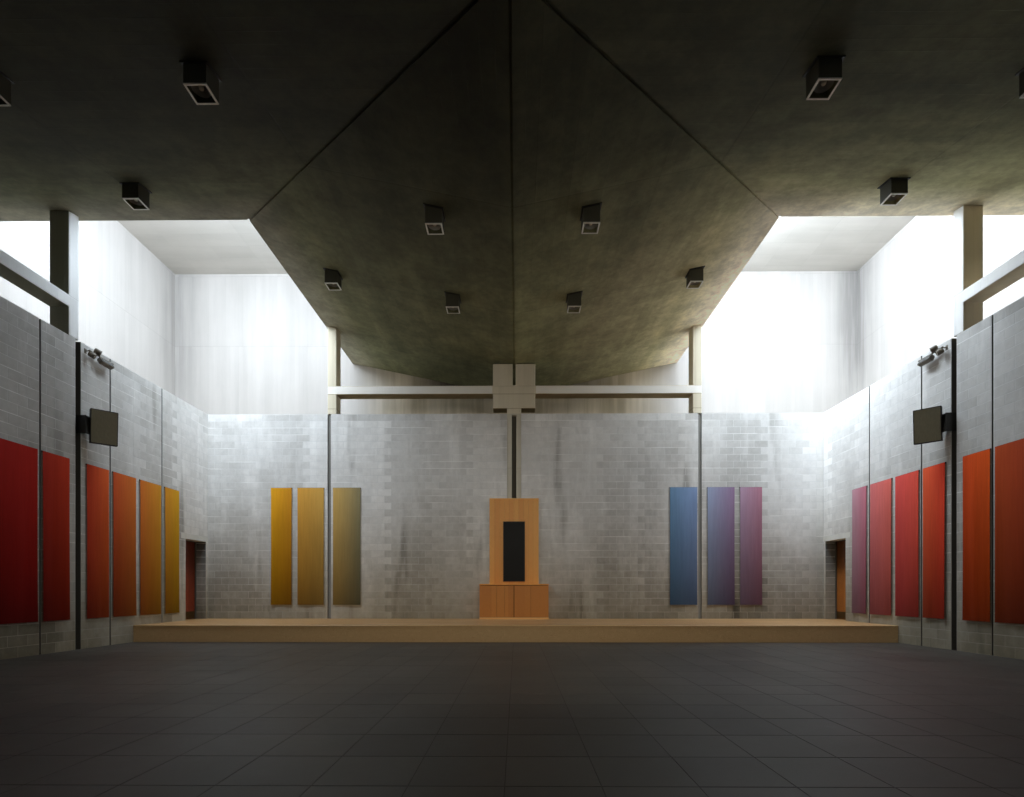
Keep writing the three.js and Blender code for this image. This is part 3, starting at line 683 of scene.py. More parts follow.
TILE = {"length": 0.61, "height": 0.61, "joint": 0.006, "proud": 0.002, "arris": 0.0015, "bond": 0}
grout, shader, place = new_finish("grout")
sand = place.cloud(300, 2)
apply_finish(shader, sand.mix(tint(54, 50, 46), tint(74, 70, 64)), 0.9 + sand * 0.08, sand, 0.001)
dress(grout, ["floor_slab"])
ground = {"origin": (0, 0, FLOOR_TOP), "along": (1, 0, 0), "up": (0, 1, 0), "out": (0, 0, 1), "base": 0}
floor_panel = [(-HALL_X + BLOCK_PROUD, HALL_X - BLOCK_PROUD, -HALL_Y + BLOCK_PROUD, PLATFORM_FRONT - 0.022)]
lay_units("floor_tiles", ground, floor_panel, TILE, cement_tile(), 31)


# The platform is two courses high and has a floor of narrow pale hardwood boards on joists, nailed
# through their edges, and a board up its front under a thicker nosing.
def timber(name, pale, dark, run, board=None, gloss=0.42, ring=0.022, painted_head_shadow=0):
    """Sawn and planed wood, with its grain along x, y or z, and a tone for each board of some width.
    Doors are darkened towards their heads by some share, as the painted shadow of their lintels."""
    material, shader, place = new_finish(name)
    x, y, z = place.parts()
    if board:
        tone = ({"x": y + z, "y": x + z, "z": x + y}[run] / board).chance()
    else:
        tone = place.node("ShaderNodeAttribute", {"attribute_name": "tone"}, out=2)
    stretch = {"x": (0.6, 1, 1), "y": (1, 0.6, 1), "z": (1, 1, 0.35)}[run]
    ends = {0: place.scaled(*stretch), 1: tone * 30}
    moved = place.node("ShaderNodeVectorMath", {"operation": "ADD"}, ends)
    warp = moved.cloud(2.2, 2)
    figure = moved.cloud(14, 3)
    rings = ((warp * 1.4 + figure * 0.12) / ring).edge().rising(0.1, 0.95)
    fine = {"x": (0.02, 1, 1), "y": (1, 0.02, 1), "z": (1, 1, 0.02)}[run]
    pores = place.scaled(*fine).cloud(420, 2, 0.7)
    shade = rings * 0.32 + pores * 0.5 + tone * 0.55 + figure * 0.3 - 0.36
    colour = shade.mix(dark, pale)
    # Painted shadow: darker towards the head, as under a lintel.
    if painted_head_shadow:
        colour = colour.tinted(1 - z.rising(1.3, 2.7) * painted_head_shadow)
    apply_finish(shader, colour, gloss + pores * 0.2, pores * 0.6 - rings * 0.25, 0.0006)
    return material


BOARD = {"length": 1.83, "height": 0.092, "joint": 0.0015, "proud": 0.003, "arris": 0.0015, "bond": 0.37}
pale_wood = timber("pale hardwood boards", tint(214, 174, 122), tint(158, 116, 70), "x", gloss=0.3)
dress(pale_wood, ["platform"])
deck = {**ground, "origin": (0, 0, PLATFORM_TOP), "base": PLATFORM_FRONT}
deck_panel = [(-HALL_X + 0.012, HALL_X - 0.012, PLATFORM_FRONT + 0.07, HALL_Y - 0.012)]
lay_units("platform_boards", deck, deck_panel, BOARD, pale_wood, 41)

NOSING = 0.070
edge = Work()
front = PLATFORM_FRONT - 0.018
lengths = np.linspace(-HALL_X + 0.006, HALL_X - 0.006, 6)
for start, end in zip(lengths + 0.001, lengths[1:] - 0.001):
    nosing_low = (start, front, PLATFORM_TOP - 0.036)
    edge.box(nosing_low, (end, PLATFORM_FRONT + NOSING, PLATFORM_TOP + 0.004), 0.006)
    riser_low = (start, front + 0.008, FLOOR_TOP + 0.003)
    edge.box(riser_low, (end, PLATFORM_FRONT, PLATFORM_TOP - 0.038), 0.002)
nosing_wood = timber("nosing", tint(222, 190, 142), tint(180, 142, 94), "x", 1.0, gloss=0.3)
edge.piece("platform_edge", [nosing_wood], "building", "platform")


# The ceiling is the roof's own concrete, dark, off boards that run along each arm. Painted light makes the
# right plates paler, and all of them paler towards their ends, the towers and their outer edges.
ARM_HALF = 5.640
KEEL_LEVEL = 8.175


def ceiling_painted_light(place, colour):
    """Painted light: paler on the right, towards the ends and the towers and at the edges, where daylight
    reaches it, and less green at the right ends. Grey over the roof.
    """
    x, y, z = place.parts()
    # Painted light: lighter on the right, towards the ends, away from the keel and at the edges.
    right = x.rising(-0.25, 0.25) * 0.7 + x.rising(-4, 4) * 0.3 + x.rising(2.0, 6.5) * 1.3
    ends = y.size().rising(1.5, 8.5) * (1 + x.rising(0, 3) * 0.3)
    off_keel = x.size().least(y.size())
    aside = off_keel.rising(2.2, 5.2)
    edge = off_keel.rising(4.3, ARM_HALF - 0.02)
    patches = place.cloud(1.5, 6, 0.7).rising(0.34, 0.66)
    # Painted light makes the right ends less green.
    colour = (x.rising(-0.25, 3) * ends).mix(colour, colour.scaled(0.98, 0.86, 0.93))
    mottle = place.cloud(7, 4, 0.65).rising(0.3, 0.7)
    # Painted light greys and lightens the edges towards the towers.
    colour = (edge * 0.5).mix(colour, tint(122, 115, 106))
    share = (0.70 + right * 0.6) * (0.56 + ends * 1.7 + aside * 0.8) * (1 + edge * 0.08)
    share = share * (0.79 + patches * 0.38) * (0.9 + mottle * 0.2)
    over_roof = z.rising(ARM_EDGE + 0.01, ARM_EDGE + 0.03)
    return over_roof.mix(colour.tinted(share), patches.mix(tint(96, 94, 89), tint(128, 126, 120)))


ceiling_tints = tint(112, 111, 81), tint(61, 62, 41)
for side, run in (("far", "y"), ("rear", "y"), ("left", "x"), ("right", "x")):
    ceiling = boarded_concrete(f"{side} ceiling", *ceiling_tints, run, 0.2, 3.66, 0.5, ceiling_painted_light, 0.5)
    dress(ceiling, [f"{side}_roof"])


# Three square light boxes of folded steel hang from each facet, with a pale rim, a black lining and a
# lamp in a spun dish. A black steel collar, flat on the concrete, covers the hole round each box.
LIGHT_PLACES = ((4.200, 1.450), (7.100, 1.450), (7.150, 4.350))
LIGHT_HALF = 0.150
LIGHT_DROP = 0.310
LIGHT_RIM = 0.018
LIGHT_RECESS = 0.240
LAMP_UP = 0.150
COLLAR = 0.034
SKIN = 0.004
ROOF_SLOPE = math.atan2(ARM_EDGE - KEEL_LEVEL, ARM_HALF)
LAMP_DISH = ((0, 0.03), (0.01, 0.060), (0.09, 0.120), (0.094, 0.120), (0.012, 0.056), (0.004, 0.02))
LAMP_BULB = ((0.0, 0.014), (0.03, 0.014), (0.04, 0.03), (0.065, 0.036), (0.085, 0.028), (0.095, 0.010))


def underside(s):
    """The level of the ceiling at s metres from its keel."""
    return KEEL_LEVEL + (ARM_EDGE - KEEL_LEVEL) * abs(s) / ARM_HALF


def light_box(casings, s, seat):
    """One box at s metres from the keel. Its finishes are box, rim, dish, bulb and black, as 0 to 4."""
    bottom = underside(s) - LIGHT_DROP
    top = underside(s) + 0.06
    outer, inner = LIGHT_HALF + SKIN, LIGHT_HALF - LIGHT_RIM
    flange = outer + COLLAR
    lean = Matrix.Rotation(math.copysign(ROOF_SLOPE, -s), 4, "Y")
    collar = seat @ Matrix.Translation((0, 0, underside(s))) @ lean
    casings.box((-flange, -flange, -0.014), (flange, flange, 0.004), 0.003, 4, collar)
    parts = (
        ((-outer, LIGHT_HALF - 0.001, bottom), (outer - SKIN, outer, top), 0.001, 0),
        ((-outer - 0.001, inner - 0.003, bottom - 0.006), (inner, outer + 0.001, bottom + 0.012), 0.002, 1),
        ((-inner, inner - 0.003, bottom + 0.008), (inner, inner + 0.001, bottom + LIGHT_RECESS), 0.001, 4),
        ((-inner, inner - 0.006, bottom + 0.002), (inner, inner, bottom + 0.05), 0.001, 1),
    )
    for quarter in range(4):
        face = seat @ Matrix.Rotation(quarter * math.pi / 2, 4, "Z")
        for low, high, arris, finish in parts:
            casings.box(low, high, arris, finish, face)
    crown = (0, 0, bottom + LAMP_UP)
    casings.turned(LAMP_DISH, crown, (0, 0, -1), 2, 24, seat)
    casings.turned(LAMP_BULB, crown, (0, 0, -1), 3, 16, seat)


black_enamel = enamel("black enamel", tint(40, 37, 32), tint(26, 24, 21))
box_enamel = enamel("light box enamel", tint(84, 82, 68), tint(62, 60, 48), gloss=0.6)
rim_enamel = enamel("rim enamel", tint(240, 238, 230), tint(222, 220, 212), gloss=0.36, metal=0.45)
lamp_white = enamel("lamp reflector", tint(160, 158, 150), tint(136, 134, 126), gloss=0.25)
glass_bulb = enamel("glass bulb", tint(232, 226, 210), tint(214, 206, 188), gloss=0.1)
casings = Work()
for turn in range(4):
    arm = Matrix.Rotation(turn * math.pi / 2, 4, "Z")
    for d, s_place in LIGHT_PLACES:
        for s in (s_place, -s_place):
            light_box(casings, s, arm @ Matrix.Translation((s, d, 0)))
light_finishes = [box_enamel, rim_enamel, lamp_white, glass_bulb, black_enamel]
casings.piece("ceiling_light_casings", light_finishes, "building", "metal")


# The arms of the roof are covered with bitumen felt, torched down in sheets a metre wide that run
# from the keel up to the kerbs. Each sheet laps the one below it, and a lead gutter lines the keel.
def roof_felt(name, pale, dark, chip, depth, sheet=1.0):
    """Mineral chips in bitumen, in sheets that differ a little in tone. Gravel is made the same way."""
    material, shader, place = new_finish(name)
    x, y, z = place.parts()
    chips = place.cloud(chip, 2)
    patch = place.cloud(0.8, 4, 0.65)
    wash = place.cloud(0.22, 3)
    tone = ((x.size().most(y.size()) - 0.02) / sheet).chance()
    shade = chips * 0.5 + patch * 0.5 + wash * 0.4 + tone * 0.3 - 0.4
    apply_finish(shader, shade.mix(dark, pale), 0.9 - chips * 0.1, chips, depth)
    return material


felt = roof_felt("roof felt", tint(124, 123, 118), tint(74, 74, 72), 260, 0.002)
ROOF_PLATE = 0.250
KERB_FOOT = ARM_HALF - 0.200
FELT_WIDTH = 1.0
FELT = 0.007
ARMS = (("right", -1, SHELL_X), ("far", 0, SHELL_Y), ("left", 1, SHELL_X), ("rear", 2, SHELL_Y))
for name, turn, reach in ARMS:
    arm = Matrix.Rotation(turn * math.pi / 2, 4, "Z")
    covering = Work()
    starts = np.arange(0.02, reach - 0.02, FELT_WIDTH)
    for start in starts:
        end = min(start + FELT_WIDTH + 0.1, reach - 0.004)
        for half in (-1, 1):
            outline = [(0, start), (min(start, KERB_FOOT), start)]
            if start < KERB_FOOT < end:
                outline.append((KERB_FOOT, KERB_FOOT))
            outline += [(min(end, KERB_FOOT), end), (0, end)]
            if outline[0] == outline[1]:
                outline.pop(0)
            count = len(outline)
            lap = [FELT * (1 + (d - start) / (end - start)) for s, d in outline]
            levels = [underside(s) + ROOF_PLATE for s, d in outline]
            low = [(half * s, d, z - 0.003) for (s, d), z in zip(outline, levels)]
            high = [(half * s, d, z + thick) for (s, d), z, thick in zip(outline, levels, lap)]
            rim = [[k, (k + 1) % count, count + (k + 1) % count, count + k] for k in range(count)]
            faces = [list(range(count))[::-1], list(range(count, 2 * count)), *rim]
            if half < 0:
                faces = [face[::-1] for face in faces]
            covering.add(low + high, faces, 0, arm)
    for half in (-1, 1):
        keel = Matrix.Translation((0, 0, KEEL_LEVEL + ROOF_PLATE))
        tilt = keel @ Matrix.Rotation(-half * ROOF_SLOPE, 4, "Y")
        covering.box((0, 0.3, 0.008), (half * 0.3, reach - 0.004, 0.018), 0.002, 1, arm @ tilt)
    lead = enamel(f"{name} gutter lead", tint(150, 152, 154), tint(108, 110, 112), gloss=0.5)
    covering.piece(f"{name}_roof_covering", [felt, lead], "building", "ceiling")


# Glass closes the two inner sides of each tower above the arms' kerbs, in steel bars welded into
# frames. The panes are four feet wide, and one rail crosses them at two thirds of their height.
def window_glass():
    material, shader, place = new_finish("window glass")
    haze = place.cloud(1.5, 3)
    # Painted reflection: the panes are grey-blue and partly opaque, which dims the bright towers seen through
    # them.
    colour = haze.mix(tint(104, 118, 123), tint(128, 140, 144))
    apply_finish(shader, colour, 0.04 + haze * 0.05)
    shader.inputs["Alpha"].default_value = 0.60
    shader.inputs["Specular IOR Level"].default_value = 0.8
    return material


dress(window_glass(), [f"{tower}_tower_glass" for tower in TOWERS])
bar_enamel = enamel("bar enamel", tint(74, 76, 76), tint(54, 56, 56))
PANE = 1.2
BAR = 0.050
GLASS_LINE = 5.590
for tower in TOWERS:
    low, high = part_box(f"{tower}_tower_glass")
    side = 1 if low.x > 0 else -1
    end = 1 if low.y > 0 else -1
    bars = Work()
    rail_levels = (low.z + 0.03, low.z + (high.z - low.z) * 0.66, high.z - 0.03)
    for axis, reach in (("x", SHELL_X), ("y", SHELL_Y)):
        reach -= 0.005

        def at(along, across, z):
            point = (along, GLASS_LINE + across, z) if axis == "x" else (GLASS_LINE + across, along, z)
            return (side * point[0], end * point[1], point[2])

        for level in rail_levels:
            rail_low = at(GLASS_LINE - BAR / 2, -BAR / 2, level - 0.028)
            bars.box(rail_low, at(reach, BAR / 2, level + 0.028), 0.003)
        count = round((reach - GLASS_LINE) / PANE)
        for k in range(1 if axis == "y" else 0, count + 1):
            middle = GLASS_LINE + (reach - GLASS_LINE - BAR / 2) * k / count
            bars.box(at(middle - BAR / 2, -BAR * 0.7, low.z), at(middle + BAR / 2, BAR * 0.7, high.z), 0.003)
    bars.piece(f"{tower}_glazing_bars", [bar_enamel], "building", "metal")


# Each tower has a flat roof of the same felt under river gravel, inside a folded lead-coloured metal
# edge. The same metal caps the low parapets at the ends of the arms, in lengths lapped at their ends.
TOWER_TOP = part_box("far_left_tower_roof")[1].z
CORNER_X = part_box("right_outer_wall")[1].x
CORNER_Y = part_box("far_outer_wall")[1].y
EDGE_METAL = 0.012
KERB_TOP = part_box("far_left_tower_glass")[0].z
gravel = roof_felt("roof gravel", tint(170, 164, 152), tint(96, 92, 86), 42, 0.02, 30)
edge_metal = enamel("edge metal", tint(122, 126, 128), tint(92, 96, 98), gloss=0.42)
for tower in TOWERS:
    low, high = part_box(f"{tower}_tower_roof")
    foot, lip = TOWER_TOP - 0.14, TOWER_TOP + 0.05
    cover = Work()
    lengths = np.linspace(low.x, high.x, 4)
    for y in (low.y, high.y):
        for start, end in zip(lengths - EDGE_METAL, lengths[1:]):
            cover.box((start, y - EDGE_METAL, foot), (end, y + EDGE_METAL, lip), 0.003, 1)
    lengths = np.linspace(low.y, high.y, 4)
    for x in (low.x, high.x):
        for start, end in zip(lengths, lengths[1:] + EDGE_METAL):
            cover.box((x - EDGE_METAL, start, foot), (x + EDGE_METAL, end, lip), 0.003, 1)
    bed_low = (low.x + EDGE_METAL, low.y + EDGE_METAL, TOWER_TOP - 0.002)
    cover.box(bed_low, (high.x - EDGE_METAL, high.y - EDGE_METAL, TOWER_TOP + 0.022), 0.004, 0)
    cover.piece(f"{tower}_tower_covering", [gravel, edge_metal], "building", "concrete")

copings = Work()
stops = np.linspace(-KERB_FOOT, KERB_FOOT, 5)
long_end, short_end = (CORNER_Y, SHELL_Y), (CORNER_X, SHELL_X)
for turn, (outer, inner) in ((0, long_end), (2, long_end), (1, short_end), (3, short_end)):
    arm = Matrix.Rotation(turn * math.pi / 2, 4, "Z")
    for start, end in zip(stops, stops[1:] + 0.02):
        copings.box((start, inner - 0.02, KERB_TOP), (end, outer + 0.02, KERB_TOP + 0.012), 0.003, 0, arm)
        drip_low = (start, outer + 0.004, KERB_TOP - 0.10)
        copings.box(drip_low, (end, outer + 0.016, KERB_TOP + 0.004), 0.002, 0, arm)
copings.piece("parapet_copings", [edge_metal], "building", "metal")


# Outside, the blocks run round the building to the height of the walls in the hall, in the same bond
# and on the same courses, and the board-marked concrete rises above them. The outside is a guess.
DOOR_PAIR = (8.700, 10.500)
outside = [
    ("far", (0, CORNER_Y, 0), (1, 0, 0), (0, 1, 0), [(-CORNER_X, CORNER_X, FLOOR_TOP, WALL_TOP)]),
    ("rear", (0, -CORNER_Y, 0), (1, 0, 0), (0, -1, 0), [(-CORNER_X, CORNER_X, FLOOR_TOP, WALL_TOP)]),
]
door_head = FLOOR_TOP + DOOR_HEIGHT
span_start, span_end = -DOOR_PAIR[1] - LINTEL_BEARING, -DOOR_PAIR[0] + LINTEL_BEARING
side_runs = [
    (-CORNER_Y, span_start, FLOOR_TOP, WALL_TOP),
    (span_start, -DOOR_PAIR[1], FLOOR_TOP, door_head),
    (-DOOR_PAIR[0], span_end, FLOOR_TOP, door_head),
    (span_start, span_end, door_head + LINTEL, WALL_TOP),
    (span_end, CORNER_Y, FLOOR_TOP, WALL_TOP),
]
for name, sign in (("left", -1), ("right", 1)):
    outside.append((name, (sign * CORNER_X, 0, 0), (0, 1, 0), (sign, 0, 0), side_runs))
weathered_block = block_face("weathered block", tint(186, 184, 178), tint(146, 144, 139), tint(128, 122, 110))
for seed, (name, origin, along, out, panels) in enumerate(outside):
    face = {**UPRIGHT, "origin": origin, "along": along, "out": out}
    lay_units(f"{name}_outside_blocks", face, panels, BLOCK, weathered_block, 51 + seed)
outer_lintels = Work()
for side in (-1, 1):
    low = (side * (CORNER_X - 0.001), span_start, door_head)
    high = (side * (CORNER_X + BLOCK_PROUD), span_end, door_head + LINTEL - MORTAR_JOINT)
    outer_lintels.box(low, high, 0.003)
outer_lintels.piece("outer_door_lintels", [precast], "building", "concrete")


# The hall's doors are flush leaves of three veneered boards with solid dark edges, which swing out into
# the corridor on bronze hinges. A painted shadow of the lintel darkens them towards their heads. Turned
# knobs stand on round roses, and a slim painted steel frame stands before each leaf in its doorway.
KNOB_UP = 1.020
KNOB_IN = 0.080
HINGE_UPS = (0.250, 1.950)
HINGE_LINE = 10.107
HINGE_OUT = 9.566
LEAF_PLATE = (10.060, 10.104)
WALL_PLATE = (10.1095, 10.161)
WALL_PLATE_OUT = 9.5495
KNUCKLE = 0.060
LINING = 0.025
LEAF_BACK = 9.540
bronze = enamel("bronze", tint(150, 120, 78), tint(112, 86, 52), gloss=0.28, metal=0.9)
edge_wood = timber("door edge wood", tint(74, 50, 34), tint(44, 30, 20), "z", 2.0, gloss=0.45)
red, gold = (tint(170, 76, 42), tint(112, 42, 24)), (tint(198, 124, 50), tint(144, 80, 30))
# The veneers carry the painted shadow of the lintels, deeper on the right door.
door_woods = {
    "left": timber("red door veneer", *red, "z", 0.326, gloss=0.34, painted_head_shadow=0.5),
    "right": timber("gold door veneer", *gold, "z", 0.326, gloss=0.34, painted_head_shadow=0.7),
}
KNOB = ((0, 0.030), (0.006, 0.030), (0.009, 0.024), (0.010, 0.011), (0.026, 0.010), (0.032, 0.020),
        (0.040, 0.0265), (0.048, 0.0265), (0.053, 0.020), (0.055, 0.008))
KEYHOLE = ((0, 0.018), (0.003, 0.018), (0.004, 0.014))
BARREL = ((0, 0.009), (0.001, 0.0104), (KNUCKLE - 0.001, 0.0104), (KNUCKLE, 0.009))
SCREW = ((0, 0.004), (0.001, 0.004), (0.0014, 0.002))


def door_leaf(leaf, name, sill, hand):
    """A leaf drawn beside the platform's right corner, and turned over to its own corner."""
    low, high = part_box(name)
    start, stop = sorted((abs(low.y), abs(high.y)))
    foot, head = low.z, high.z
    lip = 0.008
    boards = np.linspace(start + lip, stop - lip, 4)
    for a, b in zip(boards, boards[1:]):
        leaf.box((LEAF_FACE, a + 0.0004, foot + lip), (LEAF_BACK, b - 0.0004, head - lip), 0.002, 0, hand)
    for a, b in ((start, start + lip), (stop - lip, stop)):
        leaf.box((LEAF_FACE, a, foot), (LEAF_BACK, b, head), 0.0015, 1, hand)
    for a, b in ((foot, foot + lip), (head - lip, head)):
        leaf.box((LEAF_FACE, start + lip, a), (LEAF_BACK, stop - lip, b), 0.0015, 1, hand)
    kick = (LEAF_FACE - 0.0015, start + 0.03, foot + 0.02), (LEAF_FACE + 0.001, stop - 0.03, foot + 0.22)
    leaf.box(*kick, 0.0006, 2, hand)
    for plane, way in ((LEAF_FACE, -1), (LEAF_BACK, 1)):
        spindle = (plane, start + KNOB_IN, sill + KNOB_UP)
        leaf.turned(KNOB, spindle, (way, 0, 0), 2, 24, hand)
        leaf.turned(KEYHOLE, (*spindle[:2], spindle[2] - 0.09), (way, 0, 0), 2, 20, hand)


def hinge_half(work, bottom, near, far, out, finish, hand):
    """A barrel on the hinge's line and its plate, with three screws."""
    work.turned(BARREL, (HINGE_OUT, HINGE_LINE, bottom), (0, 0, 1), finish, 16, hand)
    work.box((out, near, bottom), (HINGE_OUT + 0.001, far, bottom + KNUCKLE), 0.001, finish, hand)
    middle = (near + far) / 2
    for up in (0.012, 0.030, 0.048):
        work.turned(SCREW, (HINGE_OUT + 0.001, middle, bottom + up), (1, 0, 0), finish, 10, hand)


linings = Work()
pins = Work()
for hand, side, place, end, sill in DOORWAYS:
    name = f"{hand}_{place}_door"
    turned_over = Matrix.Diagonal((side, end, 1, 1))
    leaf = Work()
    door_leaf(leaf, name, sill, turned_over)
    for up in HINGE_UPS:
        hinge_half(leaf, sill + up, *LEAF_PLATE, LEAF_BACK, 2, turned_over)
        hinge_half(pins, sill + up - KNUCKLE - 0.0003, *WALL_PLATE, WALL_PLATE_OUT, 0, turned_over)
    body = f"{hand}_door" if place == "platform" else "building"
    woods = [door_woods[hand], edge_wood, bronze]
    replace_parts(leaf.piece(f"{name}_leaf", woods, body, "wood"), name)
    near, far = REVEAL_END - 0.040, REVEAL_END
    top = sill + DOOR_HEIGHT
    for a, b in ((DOORWAY[0], DOORWAY[0] + LINING), (DOORWAY[1] - LINING, DOORWAY[1])):
        linings.box((near, a, sill + 0.003), (far, b, top - LINING), 0.002, 0, turned_over)
    linings.box((near, DOORWAY[0], top - LINING), (far, DOORWAY[1], top), 0.002, 0, turned_over)
frame_enamel = enamel("door frame enamel", tint(92, 88, 80), tint(70, 67, 60), gloss=0.5)
linings.piece("door_linings", [frame_enamel], "building", "metal")
pins.piece("door_hinge_pins", [bronze], "building", "metal")


# The outer doors are pairs of leaves in upright oak boards on ledges, set back in the wall, with a
# steel kick plate and a long steel pull on each leaf. The photograph doesn't show them.
oak = timber("outer oak", tint(176, 124, 74), tint(112, 74, 42), "z", 0.1, gloss=0.5)
steel = enamel("brushed steel", tint(176, 176, 174), tint(140, 140, 138), gloss=0.3, metal=1)
PULL_POST = ((0, 0.022), (0.004, 0.022), (0.005, 0.009), (0.062, 0.009))
PULL_BAR = ((0, 0.010), (0.003, 0.0145), (0.897, 0.0145), (0.9, 0.010))
for hand, side in (("left", -1), ("right", 1)):
    low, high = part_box(f"{hand}_outer_door")
    turned_over = Matrix.Diagonal((side, -1, 1, 1))
    face = max(abs(low.x), abs(high.x))
    back = face - 0.060
    start, stop = sorted((abs(low.y), abs(high.y)))
    middle = (start + stop) / 2
    pair = Work()
    for a, b, pull in ((start, middle - 0.003, middle - 0.11), (middle + 0.003, stop, middle + 0.11)):
        pair.box((back, a, low.z), (face - 0.020, b, high.z), 0.002, 0, turned_over)
        boards = np.linspace(a, b, 10)
        for p, q in zip(boards + 0.0005, boards[1:] - 0.0005):
            pair.box((face - 0.021, p, low.z + 0.001), (face, q, high.z - 0.001), 0.004, 0, turned_over)
        kick = (face - 0.001, a + 0.02, low.z + 0.02), (face + 0.002, b - 0.02, low.z + 0.27)
        pair.box(*kick, 0.0008, 1, turned_over)
        for up in (0.80, 1.40):
            pair.turned(PULL_POST, (face, pull, low.z + up), (1, 0, 0), 1, 16, turned_over)
        pair.turned(PULL_BAR, (face + 0.060, pull, low.z + 0.65), (0, 0, 1), 1, 20, turned_over)
    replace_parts(pair.piece(f"{hand}_outer_door_pair", [oak, steel], "building", "wood"), f"{hand}_outer_door")


# The cabinet stands against the platform wall: a board top, a pale base strip and five doors of
# unequal widths with a wide gap in the middle. A backing of upright boards rises behind its top.
orange_wood = timber("orange boards", tint(240, 175, 88), tint(226, 148, 68), "z", 0.145, gloss=0.34)
front_wood = timber("cabinet fronts", tint(212, 141, 64), tint(194, 122, 52), "z", 0.48, gloss=0.34)
strip_wood = timber("pale strips", tint(248, 200, 130), tint(222, 164, 96), "x", 3.0, gloss=0.34)
# The near-black shadow gap is painted shade, in the hollow behind the cabinet's doors and behind the backing's
# boards.
shadow_gap = enamel("shadow gap", tint(34, 22, 14), tint(24, 16, 10), gloss=0.8)
low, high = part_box("cabinet")
cabinet = Work()
TOP_BOARD = 0.034
BASE_STRIP = 0.060
FRONT = 0.020
CHEEK = 0.018
hollow_low = (low.x + 0.012, low.y + 0.012 + FRONT, low.z)
cabinet.box(hollow_low, (high.x - 0.012, high.y, high.z - TOP_BOARD), 0.002, 3)
cabinet.box((low.x, low.y, high.z - TOP_BOARD), (high.x, high.y, high.z), 0.004, 0)
strip_low = (low.x + 0.004, low.y + 0.006, low.z)
cabinet.box(strip_low, (high.x - 0.004, high.y, low.z + BASE_STRIP), 0.003, 2)
for x in (low.x + 0.006, high.x - 0.006 - CHEEK):
    cheek_low = (x, low.y + 0.020, low.z + BASE_STRIP)
    cabinet.box(cheek_low, (x + CHEEK, high.y, high.z - TOP_BOARD), 0.002, 1)
gaps = (-0.502, 0.002), (-0.270, 0.002), (0, 0.009), (0.485, 0.002)
starts = [low.x + 0.010] + [middle + half for middle, half in gaps]
ends = [middle - half for middle, half in gaps] + [high.x - 0.010]
for start, end in zip(starts, ends):
    door_low = (start, low.y + 0.010, low.z + BASE_STRIP + 0.006)
    door_high = (end, low.y + 0.010 + FRONT, high.z - TOP_BOARD - 0.012)
    cabinet.box(door_low, door_high, 0.002, 1)
woods = [orange_wood, front_wood, strip_wood, shadow_gap]
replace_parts(cabinet.piece("cabinet_carcass", woods, "building", "wood"), "cabinet")

low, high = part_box("backing_panel")
backing = Work()
TRIM = 0.024
# The backing's back panel, seen in the gaps between its boards, is painted shade.
backing.box((low.x, low.y + 0.008, low.z), (high.x, high.y, high.z - 0.004), 0.002, 2)
boards = np.linspace(low.x + TRIM, high.x - TRIM, 11)
for a, b in zip(boards + 0.0008, boards[1:] - 0.0008):
    backing.box((a, low.y + 0.001, low.z), (b, low.y + 0.020, high.z - TRIM), 0.002, 0)
for a, b in ((low.x, low.x + TRIM), (high.x - TRIM, high.x)):
    backing.box((a, low.y, low.z), (b, high.y, high.z), 0.002, 1)
backing.box((low.x + TRIM, low.y, high.z - TRIM), (high.x - TRIM, high.y, high.z), 0.002, 1)
trim_wood = timber("backing trim", tint(248, 190, 112), tint(230, 160, 86), "z", 3.0, gloss=0.34)
woods = [orange_wood, trim_wood, shadow_gap]
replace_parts(backing.piece("backing_boards", woods, "building", "wood"), "backing_panel")


# A black board hangs on the backing, bare here: a lacquered panel in a thin black frame, a little
# proud of its panel, on two hidden hooks.
def lacquer():
    material, shader, place = new_finish("black lacquer")
    brushed = place.scaled(1, 1, 0.06).cloud(160, 3)
    cloudy = place.cloud(4, 4)
    colour = (cloudy * 0.7 + brushed * 0.3).mix(tint(9, 9, 10), tint(24, 23, 21))
    apply_finish(shader, colour, 0.4 + cloudy * 0.25, brushed, 0.0002)
    shader.inputs["Specular IOR Level"].default_value = 0.25
    return material


low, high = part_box("black_board")
board = Work()
FRAME_STRIP = 0.018
panel_low = (low.x + 0.004, low.y + 0.007, low.z + 0.004)
board.box(panel_low, (high.x - 0.004, high.y, high.z - 0.004), 0.001)
for a, b in ((low.x, low.x + FRAME_STRIP), (high.x - FRAME_STRIP, high.x)):
    board.box((a, low.y, low.z), (b, high.y, high.z), 0.002, 1)
for a, b in ((low.z, low.z + FRAME_STRIP), (high.z - FRAME_STRIP, high.z)):
    board.box((low.x + FRAME_STRIP, low.y, a), (high.x - FRAME_STRIP, high.y, b), 0.002, 1)
blacks = [lacquer(), black_enamel]
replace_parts(board.piece("black_board_panel", blacks, "building", "black_board"), "black_board")


# Two loudspeakers hang from steel plates let into the wide joints of the side walls, turned and
# tipped towards the seats. Each is a dark vinyl-covered box with its front covered in grille cloth.
def grille_cloth():
    material, shader, place = new_finish("grille cloth")
    threads = place.cloud(600, 1)
    slubs = place.scaled(1, 1, 0.2).cloud(60, 3)
    colour = (threads * 0.5 + slubs * 0.6 - 0.05).mix(tint(122, 116, 96), tint(172, 166, 142))
    apply_finish(shader, colour, 0.88 + slubs * 0.08, threads + slubs * 0.5, 0.0005)
    return material


